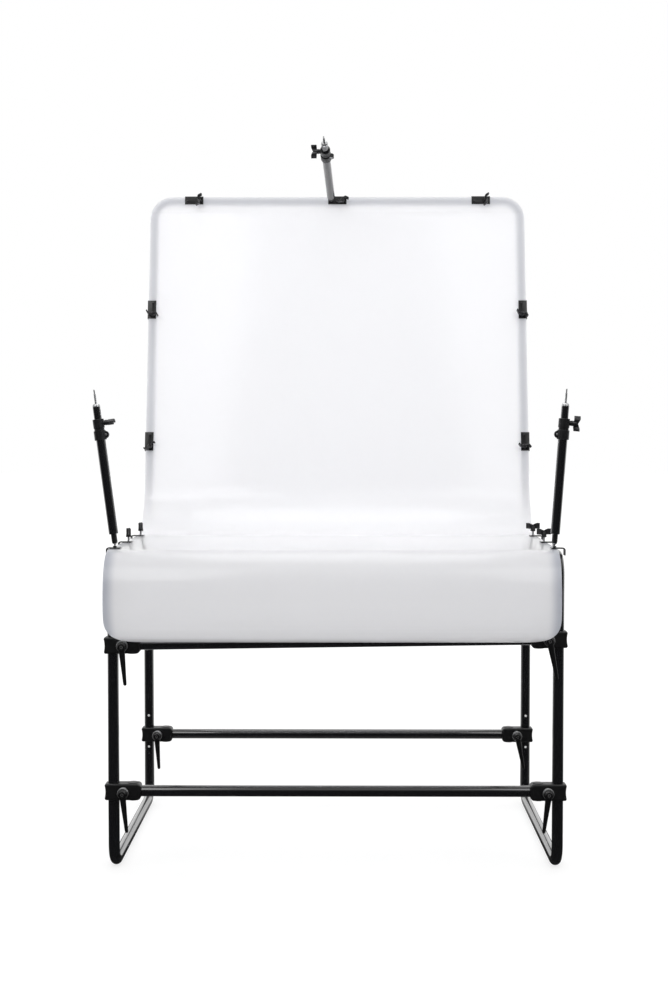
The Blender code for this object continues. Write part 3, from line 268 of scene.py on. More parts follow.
def moulded_abs(colours):
    """ABS, moulded: a smooth satin black with slightly glossy rims."""
    return surface(
        "moulded_abs",
        {"Base Color": linear(colours.knob), "IOR": 1.54},
        grain=(0.5, 0.015),
        roughness=(0.36, 0.04),
        cloud_mm=10.0,
    )


def zinc_plate(colours):
    """Bright zinc plating on turned steel: a light grey metal with a slightly milky shine."""
    return surface(
        "bright_zinc_plate",
        {"Base Color": linear(colours.zinc), "Metallic": 1.0},
        grain=(0.7, 0.01),
        roughness=(0.40, 0.06),
        cloud_mm=6.0,
    )


def opal_acrylic(colours, sizes, course):
    """Cast opal acrylic (PMMA), 3 mm: milky all through, so that the loop close behind it shows as
    a soft grey strip, and glossy on both faces. That strip, and the hanging front's side edges, are
    darkened further by painted shadow, and the hanging front by painted shade. It glows a little:
    painted light that stands in for the studio's light through the sheet."""
    made = surface(
        "opal_acrylic",
        {
            "IOR": 1.49,
            "Transmission Weight": 0.45,
            "Coat Weight": 0.8,
            "Coat IOR": 1.45,
            "Coat Roughness": 0.14,
            # A faint glow all over: painted light, standing in for the studio's light through the
            # sheet
            "Emission Strength": 0.085,
        },
        grain=(90.0, 0.05),
        roughness=(0.72, 0.03),
        cloud_mm=250.0,
    )
    tree = made.node_tree
    half, total = sizes.sheet_width / 2, course[-1][0]
    bend_end, backed_from = course[CURL_STEPS + BEND_STEPS][0], course[-1 - BACK_STEPS][0]
    loop_bend = sizes.sheet_corner - (half - sizes.back_x)
    loop_corner = (sizes.back_x - loop_bend, total - sizes.sheet_corner, 0)
    # The map "flat" holds metres across the sheet, and along it from its front lip
    flat = add_node(tree, "ShaderNodeUVMap", uv_map="flat").outputs["UV"]
    place = add_node(tree, "ShaderNodeVectorMath", {0: flat}, operation="ABSOLUTE").outputs[0]
    split = add_node(tree, "ShaderNodeSeparateXYZ", {"Vector": place})
    across, onward = split.outputs["X"], split.outputs["Y"]
    past = place
    for operation, by in (("SUBTRACT", loop_corner), ("MAXIMUM", (0, 0, 0))):
        pair = {0: past, 1: by}
        past = add_node(tree, "ShaderNodeVectorMath", pair, operation=operation).outputs[0]
    off = add_node(tree, "ShaderNodeVectorMath", {0: past}, operation="LENGTH").outputs["Value"]
    for operation, by in (("SUBTRACT", loop_bend), ("ABSOLUTE", 0.0)):
        off = add_node(tree, "ShaderNodeMath", {0: off, 1: by}, operation=operation).outputs[0]
    # Each share goes smoothly from one level to another between two distances
    shares = {"falloff": 4.0}
    # Masks of painted shade: near and backed mark the painted shadow of the backrest loop, hangs the
    # painted shade of the hanging front, fading onto the table, and side the painted shadow of the
    # side loops at that front's edges
    for name, *ramp in (
        ("near", off, 0.0, 0.036, 1.0, 0.0),
        ("backed", onward, backed_from - 0.12, backed_from + 0.12, 0.0, 0.28),
        ("hangs", onward, bend_end, bend_end + 0.40, 1.0, 0.0),
        ("side", across, half - 0.030, half - 0.004, 0.0, 0.5),
    ):
        ramp = dict(zip(RAMP, ramp))
        ramp = add_node(tree, "ShaderNodeMapRange", ramp, interpolation_type="SMOOTHSTEP")
        shares[name] = ramp.outputs["Result"]
    # close and backed give the backrest loop's painted shadow, rim the side loops' painted shadow,
    # and dark the stronger of the two
    for name, operation, first, second in (
        ("close", "POWER", "near", "falloff"),
        ("painted_loop_shadow", "MULTIPLY", "close", "backed"),
        ("rim", "MULTIPLY", "side", "hangs"),
        ("dark", "MAXIMUM", "painted_loop_shadow", "rim"),
    ):
        pair = {0: shares[first], 1: shares[second]}
        shares[name] = add_node(tree, "ShaderNodeMath", pair, operation=operation).outputs[0]
    # The painted shade of the hanging front, then the painted shadow of the loops, are mixed into
    # the acrylic's colour
    tone = linear(colours.acrylic)
    for share, code in (("hangs", colours.painted_apron_shade), ("dark", colours.painted_loop_shadow)):
        mixed = {0: shares[share], 6: tone, 7: linear(code)}
        tone = add_node(tree, "ShaderNodeMix", mixed, data_type="RGBA").outputs[2]
    # Both the base colour and the glow take this painted shade and shadow
    shader = tree.nodes["Principled BSDF"]
    for socket in ("Base Color", "Emission Color"):
        tree.links.new(tone, shader.inputs[socket])
    return made


def turned(profile, steps=40):
    """A closed shape from a profile of (radius, height), spun about Z."""
    shape = bmesh.new()
    verts = [shape.verts.new((radius, 0.0, height)) for radius, height in profile]
    edges = [shape.edges.new(pair) for pair in zip(verts, verts[1:])]
    bmesh.ops.spin(
        shape,
        geom=[*verts, *edges],
        cent=(0, 0, 0),
        axis=(0, 0, 1),
        dvec=(0, 0, 0),
        angle=math.tau,
        steps=steps,
        use_merge=True,
        use_duplicate=False,
    )
    bmesh.ops.remove_doubles(shape, verts=shape.verts, dist=1e-6)
    bmesh.ops.recalc_face_normals(shape, faces=shape.faces)
    return shape


def threaded(radius, low, high, pitch=0.0008):
    """The profile of a screw's thread, from its upper end down, as rings a pitch apart."""
    count = max(1, round((high - low) / pitch))
    step = (high - low) / count
    end, root = radius * 0.82, radius * 0.84
    points = [(0.0, high), (end, high)]
    for i in range(count):
        points.append((radius, high - step * (i + 0.5)))
        points.append((root, high - step * (i + 1)))
    return [*points, (0.0, low)]


def pulled(shape, edges, way):
    """Extrudes an open rim of edges along a way, and gives its new vertices and its new rim."""
    made = bmesh.ops.extrude_edge_only(shape, edges=edges)["geom"]
    verts = [item for item in made if isinstance(item, bmesh.types.BMVert)]
    bmesh.ops.translate(shape, vec=way, verts=verts)
    edges = [item for item in made if isinstance(item, bmesh.types.BMEdge)]
    return verts, [edge for edge in edges if len(edge.link_faces) == 1]


def routed_tube(start, heading, radius, route, sides=40, closed=False):
    """A round tube that runs from start along a route of ("go", vector) and ("bend", centre,
    axis, angle) steps."""
    shape = bmesh.new()
    turn = Vector(heading).to_track_quat("Z", "Y").to_matrix().to_4x4()
    bmesh.ops.create_circle(
        shape,
        cap_ends=not closed,
        segments=sides,
        radius=radius,
        matrix=Matrix.Translation(start) @ turn,
    )
    edges = list(shape.edges)
    for kind, *values in route:
        if kind == "go":
            edges = pulled(shape, edges, values[0])[1]
            continue
        centre, axis, turn_angle = values
        made = bmesh.ops.spin(
            shape,
            geom=edges,
            cent=centre,
            axis=axis,
            dvec=(0, 0, 0),
            angle=turn_angle,
            steps=16,
            use_duplicate=False,
        )["geom_last"]
        edges = [item for item in made if isinstance(item, bmesh.types.BMEdge)]
    if not closed:
        bmesh.ops.edgeloop_fill(shape, edges=edges)
    bmesh.ops.remove_doubles(shape, verts=shape.verts, dist=1e-5)
    bmesh.ops.recalc_face_normals(shape, faces=shape.faces)
    return shape


def as_object(name, shape, finishes=()):
    """Makes a shape an object of the scene with these finishes, and frees it."""
    mesh = bpy.data.meshes.new(name)
    shape.to_mesh(mesh)
    shape.free()
    for finish in finishes:
        mesh.materials.append(finish)
    made = bpy.data.objects.new(name, mesh)
    bpy.context.scene.collection.objects.link(made)
    return made


def carved(shape, tools):
    """A shape after closed tools are cut out of it, in order."""
    blank = as_object("carved", shape)
    cutters = [as_object("carved", tool) for tool in tools]
    for cutter in cutters:
        cut = blank.modifiers.new("cut", "BOOLEAN")
        cut.object = cutter
    graph = bpy.context.evaluated_depsgraph_get()
    mesh = bpy.data.meshes.new_from_object(blank.evaluated_get(graph))
    result = bmesh.new()
    result.from_mesh(mesh)
    for used in (blank, *cutters):
        old = used.data
        bpy.data.objects.remove(used)
        bpy.data.meshes.remove(old)
    bpy.data.meshes.remove(mesh)
    bmesh.ops.remove_doubles(result, verts=result.verts, dist=1e-6)
    return result


def sliced(shape, places, axis):
    """Cuts a shape's faces in two across an axis, at each of these places along it."""
    for place in places:
        bmesh.ops.bisect_plane(
            shape,
            geom=[*shape.verts, *shape.edges, *shape.faces],
            dist=1e-7,
            plane_co=[place * part for part in axis],
            plane_no=axis,
        )


def rims(shape, least=60):
    """The edges where a shape's faces turn by more than this many degrees."""
    return [edge for edge in shape.edges if edge.calc_face_angle(0.0) > math.radians(least)]


def block(size, x):
    """A box of this size round a point on the X axis."""
    shape = bmesh.new()
    bmesh.ops.create_cube(shape, size=1.0)
    bmesh.ops.scale(shape, vec=size, verts=shape.verts)
    bmesh.ops.translate(shape, vec=(x, 0, 0), verts=shape.verts)
    return shape


def rounded(shape, geom, offset, segments=3, affect="EDGES"):
    """Rounds a shape's edges, or a flat shape's corners."""
    bmesh.ops.bevel(
        shape,
        geom=geom,
        offset=offset,
        offset_type="OFFSET",
        affect=affect,
        segments=segments,
        profile=0.5,
        material=-1,
        clamp_overlap=True,
    )


def rod(start, end, radius, segments=32, edge=0.0):
    """A cylinder between two points with rounded rims."""
    start, end = Vector(start), Vector(end)
    shape = bmesh.new()
    bmesh.ops.create_cone(
        shape,
        cap_ends=True,
        segments=segments,
        radius1=radius,
        radius2=radius,
        depth=(end - start).length,
        matrix=Matrix.Translation((start + end) / 2)
        @ (end - start).to_track_quat("Z", "Y").to_matrix().to_4x4(),
    )
    if edge:
        rounded(shape, rims(shape), edge)
    return shape


def join(whole, part, place=None, finish=0):
    """Adds a part to a whole at its place, with the number of its finish, and frees it."""
    for face in part.faces:
        face.material_index = finish
    if place is not None:
        bmesh.ops.transform(part, matrix=place, verts=part.verts)
    mesh = bpy.data.meshes.new("part")
    part.to_mesh(mesh)
    part.free()
    whole.from_mesh(mesh)
    bpy.data.meshes.remove(mesh)


def piece(name, shape, body, finishes, nodes=(), sharp=35.0):
    """Makes a shape one of the table's pieces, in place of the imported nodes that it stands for."""
    made = as_object(name, shape, finishes)
    made.data.shade_smooth()
    made.data.set_sharp_from_angle(angle=math.radians(sharp))
    if body:
        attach(made, body)
    if nodes:
        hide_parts(*nodes)
    return made


def finished(node, shape, body, finishes, place=None):
    """Makes a shape, moved to its place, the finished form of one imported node."""
    if place is not None:
        bmesh.ops.transform(shape, matrix=place, verts=shape.verts)
    return piece(f"{node}_finished", shape, body, finishes, [node])


def axes(origin, z_axis, x_axis):
    """A place from its origin, its Z direction and roughly its X direction."""
    z_axis = Vector(z_axis).normalized()
    y_axis = z_axis.cross(Vector(x_axis)).normalized()
    turn = Matrix((y_axis.cross(z_axis), y_axis, z_axis)).transposed().to_4x4()
    return Matrix.Translation(origin) @ turn


def joint_place(name, x_axis):
    """The place of a joint, with Z along its axis."""
    joint = JOINTS[name]
    return axes(joint["pos_m"], joint["axis"], x_axis)


def backrest_place(sizes):
    """The backrest's pivot, leaning with it."""
    pivot = JOINTS["backrest_tilt"]["pos_m"]
    return Matrix.Translation(pivot) @ Matrix.Rotation(-sizes.lean, 4, "X")


def bolts(bar):
    """The places of a crossbar's left and right clamping bolts."""
    return [Vector(JOINTS[f"turn_lever_{bar}_{side}"]["pos_m"]) for side in SIDES]


def sheet_course(sizes):
    """The sheet's upper face in side view, as (distance from its front lip, y, z) points, and the
    y where its rear sweep starts. Both y are counted from the front legs."""
    points = []
    foremost = TABLE_TOP - sizes.apron_height
    centre_y = -sizes.apron_reach + sizes.curl_radius
    for step in range(CURL_STEPS + 1):
        turn = sizes.curl * (1 - step / CURL_STEPS)
        y = centre_y - sizes.curl_radius * math.cos(turn)
        points.append((y, foremost - sizes.curl_radius * math.sin(turn)))
    bend_end = sizes.apron_depth - sizes.apron_reach
    power = 2 / sizes.apron_power
    for step in range(1, BEND_STEPS + 1):
        turn = math.pi / 2 * step / BEND_STEPS
        y = bend_end - sizes.apron_depth * max(0.0, math.cos(turn)) ** power
        points.append((y, foremost + sizes.apron_height * math.sin(turn) ** power))
    pivot = JOINTS["backrest_tilt"]["pos_m"]
    face = sizes.back_tube + GAP + SHEET_THICKNESS
    face_y = pivot[1] - FRONT_Y - face / math.cos(sizes.lean)
    meet = face_y - (pivot[2] - TABLE_TOP) * math.tan(sizes.lean)
    total = math.pi / 2 - sizes.lean
    sweep_y = meet - sizes.sweep * math.tan(total / 2)
    for step in range(1, TABLE_STEPS + 1):
        points.append((bend_end + (sweep_y - bend_end) * (step / TABLE_STEPS), TABLE_TOP))
    for step in range(1, SWEEP_STEPS + 1):
        turn = total * step / SWEEP_STEPS
        y = sweep_y + sizes.sweep * math.sin(turn)
        points.append((y, TABLE_TOP + sizes.sweep * (1 - math.cos(turn))))
    up = Vector((math.sin(sizes.lean), math.cos(sizes.lean)))
    end = Vector(points[-1])
    top = Vector((pivot[1] - FRONT_Y, pivot[2])) + up * sizes.sheet_top
    top += Vector((-math.cos(sizes.lean), math.sin(sizes.lean))) * face
    for step in range(1, BACK_STEPS + 1):
        points.append(tuple(end.lerp(top, step / BACK_STEPS)))
    course = [(0.0, *points[0])]
    for last, here in zip(points, points[1:]):
        course.append((course[-1][0] + math.dist(last, here), *here))
    return course, sweep_y


def along(course, distance):
    """The (y, z) point of the course at a distance from the lip."""
    for low, high in zip(course, course[1:]):
        if distance <= high[0] + 1e-9:
            share = (distance - low[0]) / (high[0] - low[0])
            return low[1] + (high[1] - low[1]) * share, low[2] + (high[2] - low[2]) * share
    return course[-1][1:]


class TABLE_OT_sheet(bpy.types.Operator):
    """Adds the opal sheet as one piece, from its front lip up the backrest"""

    bl_idname = "table.sheet"
    bl_label = "Opal sheet"

    def execute(self, context):
        sizes, colours = context.scene.table_sizes, context.scene.table_colours
        course, sweep_y = sheet_course(sizes)
        total = course[-1][0]
        shape = bmesh.new()
        bmesh.ops.create_grid(shape, x_segments=1, y_segments=1, size=0.5)
        bmesh.ops.scale(shape, vec=(sizes.sheet_width, total, 1), verts=shape.verts)
        bmesh.ops.translate(shape, vec=(0, total / 2, 0), verts=shape.verts)
        flat = shape.loops.layers.uv.new("flat")
        for at_top, radius in ((False, sizes.apron_corner), (True, sizes.sheet_corner)):
            corners = [v for v in shape.verts if (v.co.y > total / 2) == at_top]
            rounded(shape, corners, radius, segments=12, affect="VERTICES")
        stations = {round(v.co.y, 6) for v in shape.verts} | {round(p[0], 6) for p in course}
        sliced(shape, sorted(stations)[1:-1], (0, 1, 0))
        for face in shape.faces:
            for loop in face.loops:
                loop[flat].uv = loop.vert.co.xy
        reach = sweep_y + sizes.apron_reach
        for vert in shape.verts:
            y, z = along(course, vert.co.y)
            shift = -sizes.side_shift * max(0.0, (sweep_y - y) / reach)
            vert.co = (vert.co.x + shift, FRONT_Y + y, z)
        bmesh.ops.recalc_face_normals(shape, faces=shape.faces)
        table = max(shape.faces, key=lambda f: f.calc_area() * abs(f.normal.z))
        if table.normal.z < 0:
            bmesh.ops.reverse_faces(shape, faces=shape.faces)
        bmesh.ops.solidify(shape, geom=shape.faces, thickness=SHEET_THICKNESS)
        broken_edge = 0.0006
        rounded(shape, rims(shape), broken_edge, segments=2)
        nodes = ("sheet_table", "sheet_sweep", "sheet_backrest")
        finish = opal_acrylic(colours, sizes, course)
        sheet = piece("opal_sheet", shape, None, [finish], nodes, sharp=50.0)
        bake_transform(sheet)
        return {"FINISHED"}


class TABLE_OT_side_loops(bpy.types.Operator):
    """Adds the two side loops of bent tube"""

    bl_idname = "table.side_loops"
    bl_label = "Side loops"
    hole_radius = 0.003
    hole_heights = (0.150, 0.233)  # through the rear legs

    def execute(self, context):
        sizes, colours = context.scene.table_sizes, context.scene.table_colours
        low = sizes.tube
        high = TABLE_TOP - SHEET_THICKNESS - GAP - sizes.tube
        front, rear = FRONT_Y, FRONT_Y + LEG_DEPTH
        bend = sizes.bend
        middle = (front + rear) / 2
        for side, sign in zip(SIDES, (-1, 1)):
            x = sign * LEG_X
            route = []
            for run, rise, y, z in (
                (rear - bend - middle, 0, rear - bend, low + bend),
                (0, high - low - 2 * bend, rear - bend, high - bend),
                (front - rear + 2 * bend, 0, front + bend, high - bend),
                (0, low - high + 2 * bend, front + bend, low + bend),
            ):
                route += [("go", (0, run, rise)), ("bend", (x, y, z), (1, 0, 0), math.pi / 2)]
            route.append(("go", (0, middle - front - bend, 0)))
            shape = routed_tube((x, middle, low), (0, 1, 0), sizes.tube, route, closed=True)
            drills = [
                rod((x, rear - 0.03, z), (x, rear + 0.03, z), self.hole_radius, 24)
                for z in self.hole_heights
            ]
            shape = carved(shape, drills)
            node = f"side_frame_{side}"
            piece(f"side_loop_{side}", shape, "stand", [powder_coat(colours)], [node])
        return {"FINISHED"}


class TABLE_OT_crossbars(bpy.types.Operator):
    """Adds the three crossbars"""

    bl_idname = "table.crossbars"
    bl_label = "Crossbars"

    def execute(self, context):
        sizes, colours = context.scene.table_sizes, context.scene.table_colours
        half = LEG_X - BOLT_FROM_LEG - SOCKET_FROM_BOLT - GAP
        for bar in BARS:
            left, right = bolts(bar)
            middle, run = (left + right) / 2, (right - left).normalized()
            shape = rod(middle - run * half, middle + run * half, sizes.tube, 40, 0.0008)
            node = f"crossbar_{bar}"
            piece(f"tube_{node}", shape, node, [powder_coat(colours)], [node])
        return {"FINISHED"}


class TABLE_OT_backrest_loop(bpy.types.Operator):
    """Adds the backrest's loop of slimmer tube"""

    bl_idname = "table.backrest_loop"
    bl_label = "Backrest loop"

    def execute(self, context):
        sizes, colours = context.scene.table_sizes, context.scene.table_colours
        x, top, bend = sizes.back_x, sizes.back_top, sizes.back_bend
        bottom = -0.0115  # from the pivot
        route = [
            ("go", (0, 0, top - bend - bottom)),
            ("bend", (bend - x, 0, top - bend), (0, 1, 0), math.pi / 2),
            ("go", (2 * (x - bend), 0, 0)),
            ("bend", (x - bend, 0, top - bend), (0, 1, 0), math.pi / 2),
            ("go", (0, 0, bottom - top + bend)),
        ]
        shape = routed_tube((-x, 0, bottom), (0, 0, 1), sizes.back_tube, route)
        bmesh.ops.transform(shape, matrix=backrest_place(sizes), verts=shape.verts)
        finish = [powder_coat(colours)]
        piece("backrest_loop", shape, "backrest", finish, ["backrest_frame"])
        return {"FINISHED"}


def pressed_piece(node, body, finish, edge=0.0003):
    """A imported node's own form with its doubles merged and its edges rounded."""
    shape = bmesh.new()
    shape.from_mesh(frame["nodes"][node].data)
    bmesh.ops.remove_doubles(shape, verts=shape.verts, dist=1e-6)
    bmesh.ops.dissolve_limit(
        shape, angle_limit=math.radians(1), verts=shape.verts, edges=shape.edges
    )
    made = finished(node, shape, body, [finish])
    bevel = made.modifiers.new("broken_edges", "BEVEL")
    bevel.width = edge
    bevel.segments = 2
    bevel.limit_method = "ANGLE"
    bevel.angle_limit = math.radians(50)
    bevel.harden_normals = False


class TABLE_OT_clamps(bpy.types.Operator):
    """Adds the moulded clamps that hold the crossbars to the legs"""

    bl_idname = "table.clamps"
    bl_label = "Tube clamps"

    def execute(self, context):
        sizes, colours = context.scene.table_sizes, context.scene.table_colours
        for bar in BARS:
            ends = bolts(bar)
            run = (ends[1] - ends[0]).normalized()
            for side, bolt in zip(SIDES, ends):
                shape = self.body(sizes)
                if side == "right":
                    bmesh.ops.scale(shape, vec=(-1, 1, 1), verts=shape.verts)
                    bmesh.ops.reverse_faces(shape, faces=shape.faces)
                place = axes(bolt, (0, -1, 0), run)
                node, finishes = f"clamp_{bar}_{side}", [filled_nylon(colours)]
                finished(node, shape, f"crossbar_{bar}", finishes, place)
        return {"FINISHED"}

    def body(self, sizes):
        """The left clamp from its bolt's axis: X along the crossbar, Y up and Z to the front."""
        leg, outer, nose = -BOLT_FROM_LEG, -0.0430, 0.0380
        half, depth, waist = 0.0187, 0.0168, 0.0018
        nose_corner, outer_corner, rim = 0.0085, 0.0045, 0.0040
        whole = block((nose - outer, 2 * half, 2 * depth), (nose + outer) / 2)
        for inward, radius in ((True, nose_corner), (False, outer_corner)):
            corners = [
                edge
                for edge in whole.edges
                if abs(edge.verts[0].co.z - edge.verts[1].co.z) > depth
                and (edge.verts[0].co.x > 0) == inward
            ]
            rounded(whole, corners, radius, segments=6)
        rounded(whole, rims(whole), rim, segments=5)
        sliced(whole, [share * half for share in (-0.6, -0.3, 0.0, 0.3, 0.6)], (0, 1, 0))
        for vert in whole.verts:
            outward = max(0.0, (leg - vert.co.x) / (leg - outer))
            vert.co.x += waist * outward * max(0.0, 1 - (vert.co.y / (half - outer_corner)) ** 2)
        socket = ((SOCKET_FROM_BOLT, 0, 0), (0.06, 0, 0), sizes.tube + GAP, 48)
        tools = [rod((leg, -0.03, 0), (leg, 0.03, 0), sizes.tube + 0.0006, 48), rod(*socket)]
        slit_end, slit_length, slit_gap = 0.022, 0.069, 0.0012
        slit = block((slit_length, 0.08, slit_gap), slit_end - slit_length / 2)
        whole = carved(whole, [*tools, slit])
        # A domed plug closes the mould's hole over the socket, above and below
        plug_x, plug_low, plug_top, plug_radius = 0.020, 0.0150, 0.0199, 0.0122
        for way in (1, -1):
            ends = (plug_x, way * plug_low, 0), (plug_x, way * plug_top, 0)
            join(whole, carved(rod(*ends, plug_radius, 40, 0.0007), [rod(*socket)]))
        boss_low, boss_top, boss_radius = 0.0140, 0.0223, 0.0078
        join(whole, rod((0, 0, boss_low), (0, 0, boss_top), boss_radius, 36, 0.0006))
        return whole


class TABLE_OT_plates(bpy.types.Operator):
    """Adds the pressed clips, arm brackets and pivot brackets"""

    bl_idname = "table.plates"
    bl_label = "Clips and brackets"

    def execute(self, context):
        finish = painted_spring_steel(context.scene.table_colours)
        for clip in BACK_CLIPS:
            pressed_piece(f"back_clip_{clip}", "backrest", finish)
        for clip in TABLE_CLIPS:
            pressed_piece(f"table_clip_{clip}", "stand", finish)
        for side in SIDES:
            pressed_piece(f"arm_bracket_{side}", "stand", finish)
            pressed_piece(f"pivot_bracket_{side}", "stand", finish, edge=0.0004)
        pressed_piece("arm_bracket_top", "backrest", finish)
        return {"FINISHED"}


class TABLE_OT_levers(bpy.types.Operator):
    """Adds the clamping levers with their washers, bolts and nuts"""

    bl_idname = "table.levers"
    bl_label = "Clamping levers"

    def execute(self, context):
        sizes, colours = context.scene.table_sizes, context.scene.table_colours
        finishes = [satin_nylon(colours), zinc_plate(colours)]
        for bar in BARS:
            for side in SIDES:
                name = f"lever_{bar}_{side}"
                middle = sum(JOINTS[f"turn_{name}"]["range_deg"]) / 2
                rest = Matrix.Rotation(-math.radians(middle), 4, "Z")
                place = joint_place(f"turn_{name}", (1, 0, 0)) @ rest
                finished(name, self.lever(sizes), name, finishes, place)
        return {"FINISHED"}

    def lever(self, sizes):
        """A lever with Z out of the clamp and its handle along -Y."""
        front, washer, head, cap = 0.0226, 0.0326, 0.0386, 0.0451
        whole = bmesh.new()
        thick_washer = [
            (0.0, washer),
            (0.0121, washer),
            (0.0127, washer - 0.0006),
            (0.0127, front + 0.0005),
            (0.0122, front),
            (0.0, front),
        ]
        join(whole, turned(thick_washer), finish=1)
        hub = [
            (0.0, cap - 0.0014),
            (0.0042, cap - 0.0014),
            (0.0044, cap - 0.0003),
            (0.0050, cap),
            (0.0068, cap - 0.0001),
            (0.0080, cap - 0.0008),
            (0.0087, cap - 0.0020),
            (0.0090, head + 0.0008),
            (0.0100, head),
            (0.0104, head - 0.0008),
            (0.0105, washer + GAP),
            (0.0, washer + GAP),
        ]
        join(whole, turned(hub))
        # The bolt's head shows as a small dished ring in the hub's cap
        bolt_head = [
            (0.0, cap - 0.0024),
            (0.0016, cap - 0.0024),
            (0.0019, cap - 0.0006),
            (0.0034, cap - 0.0006),
            (0.0038, cap - 0.0011),
            (0.0038, cap - 0.0020),
        ]
        join(whole, turned(bolt_head, 24), finish=1)
        shank_end, nut_low, nut_high = -0.0168, -0.0227, -0.0171
        join(whole, rod((0, 0, shank_end), (0, 0, front), 0.0039, 24), finish=1)
        join(whole, rod((0, 0, nut_low), (0, 0, nut_high), 0.0070, 6, 0.0004), finish=1)
        # The handle's ring section shrinks along its length to a small dome
        handle = bmesh.new()
        sections = [
            (0.0, 1.00),
            (0.12, 0.97),
            (0.35, 0.84),
            (0.60, 0.70),
            (0.80, 0.60),
            (0.92, 0.55),
            (0.965, 0.51),
            (0.985, 0.42),
            (0.996, 0.26),
            (1.0, 0.08),
        ]
        handle_radius, handle_height, flatness = 0.0073, washer + 0.0049, 0.62
        bmesh.ops.create_circle(handle, cap_ends=False, segments=28, radius=handle_radius)
        upright = Matrix.Rotation(math.pi / 2, 3, "X")
        bmesh.ops.rotate(handle, cent=(0, 0, 0), matrix=upright, verts=handle.verts)
        edges = list(handle.edges)
        for (last, last_scale), (here, scale) in zip(sections, sections[1:]):
            verts, edges = pulled(handle, edges, (0, -sizes.lever * (here - last), 0))
            ratio = scale / last_scale
            bmesh.ops.scale(handle, vec=(ratio, 1, ratio), verts=verts)
        bmesh.ops.edgeloop_fill(handle, edges=edges)
        bmesh.ops.recalc_face_normals(handle, faces=handle.faces)
        flat = Matrix.Translation((0, 0, handle_height)) @ Matrix.Diagonal((1, 1, flatness, 1))
        join(whole, handle, flat)
        return whole


def wing_knob(sizes, reach, base):
    """A wing knob with Z out of its seat, its wings along X and its screw below it. Its boss
    starts at the base, and its screw reaches this far under the seat."""
    whole = bmesh.new()
    boss = [
        (0.0, base + 0.0132),
        (0.0030, base + 0.0132),
        (0.0042, base + 0.0128),
        (0.0052, base + 0.0105),
        (0.0061, base + 0.0040),
        (0.0063, base + 0.0010),
        (0.0058, base),
        (0.0, base),
    ]
    join(whole, turned(boss, 32))
    # The wings' plan is a rounded bar, bent to an S, and their ears stand up at the ends
    wings = bmesh.new()
    half, thick = sizes.wing_span / 2, sizes.wing_thickness / 2
    height, lift, rim = 0.015, 0.0055, 0.0011
    sway, dip, rise = 0.0045, 0.0045, 0.0012
    bmesh.ops.create_circle(wings, cap_ends=True, segments=32, radius=thick)
    for vert in wings.verts:
        vert.co.x += math.copysign(half - thick, vert.co.x)
    sliced(wings, [i * half / 9.5 for i in range(-8, 9)], (1, 0, 0))
    for vert in wings.verts:
        share = max(-1.0, min(1.0, vert.co.x / (half - thick)))
        vert.co.y += sway * math.sin(math.pi * share)
    made = bmesh.ops.extrude_face_region(wings, geom=list(wings.faces))["geom"]
    upper = {item for item in made if isinstance(item, bmesh.types.BMVert)}
    bmesh.ops.translate(wings, vec=(0, 0, height), verts=list(upper))
    for vert in wings.verts:
        spread = abs(vert.co.x) / half
        if vert in upper:
            vert.co.z -= dip * max(0.0, 1 - spread * 1.7)
        else:
            vert.co.z += rise * spread
    bmesh.ops.recalc_face_normals(wings, faces=wings.faces)
    rounded(wings, rims(wings, least=50), rim)
    join(whole, wings, Matrix.Translation((0, 0, base + lift)))
    join(whole, turned(threaded(0.0025, -reach, base - 0.0001), 20), finish=1)
    return whole


class TABLE_OT_wing_knobs(bpy.types.Operator):
    """Adds every wing knob with its screw"""

    bl_idname = "table.wing_knobs"
    bl_label = "Wing knobs"
    back_turns = {  # in degrees from level, seen from the front
        "top_left": 65,
        "top_right": 70,
        "upper_left": -22,
        "upper_right": -30,
        "lower_left": 32,
        "lower_right": -14,
    }
    arm_turns = {"left": 90, "right": 0, "top": 75}  # from the arm's own length

    def execute(self, context):
        sizes, colours = context.scene.table_sizes, context.scene.table_colours
        finishes = [moulded_abs(colours), zinc_plate(colours)]
        back_reach, table_reach, arm_reach, standoff = 0.0151, 0.0139, 0.0061, 0.010
        across = (1, 0, 0)
        knobs = [("arm_bracket_knob", across, 10, back_reach, 0.0)]
        for clip, turn in self.back_turns.items():
            knobs.append((f"back_knob_{clip}", across, turn, back_reach, 0.0))
        for clip in TABLE_CLIPS:
            turn = 90 if clip.endswith("left") else 0
            knobs.append((f"table_knob_{clip}", across, turn, table_reach, standoff))
        for arm, turn in self.arm_turns.items():
            down = -Vector(JOINTS[f"extend_arm_{arm}"]["axis"])
            knobs.append((f"arm_knob_{arm}", down, turn, arm_reach, 0.0))
        for name, x_axis, turn, reach, base in knobs:
            turn = Matrix.Rotation(math.radians(turn), 4, "Z")
            place = joint_place(f"turn_{name}", x_axis) @ turn
            finished(name, wing_knob(sizes, reach, base), name, finishes, place)
        return {"FINISHED"}


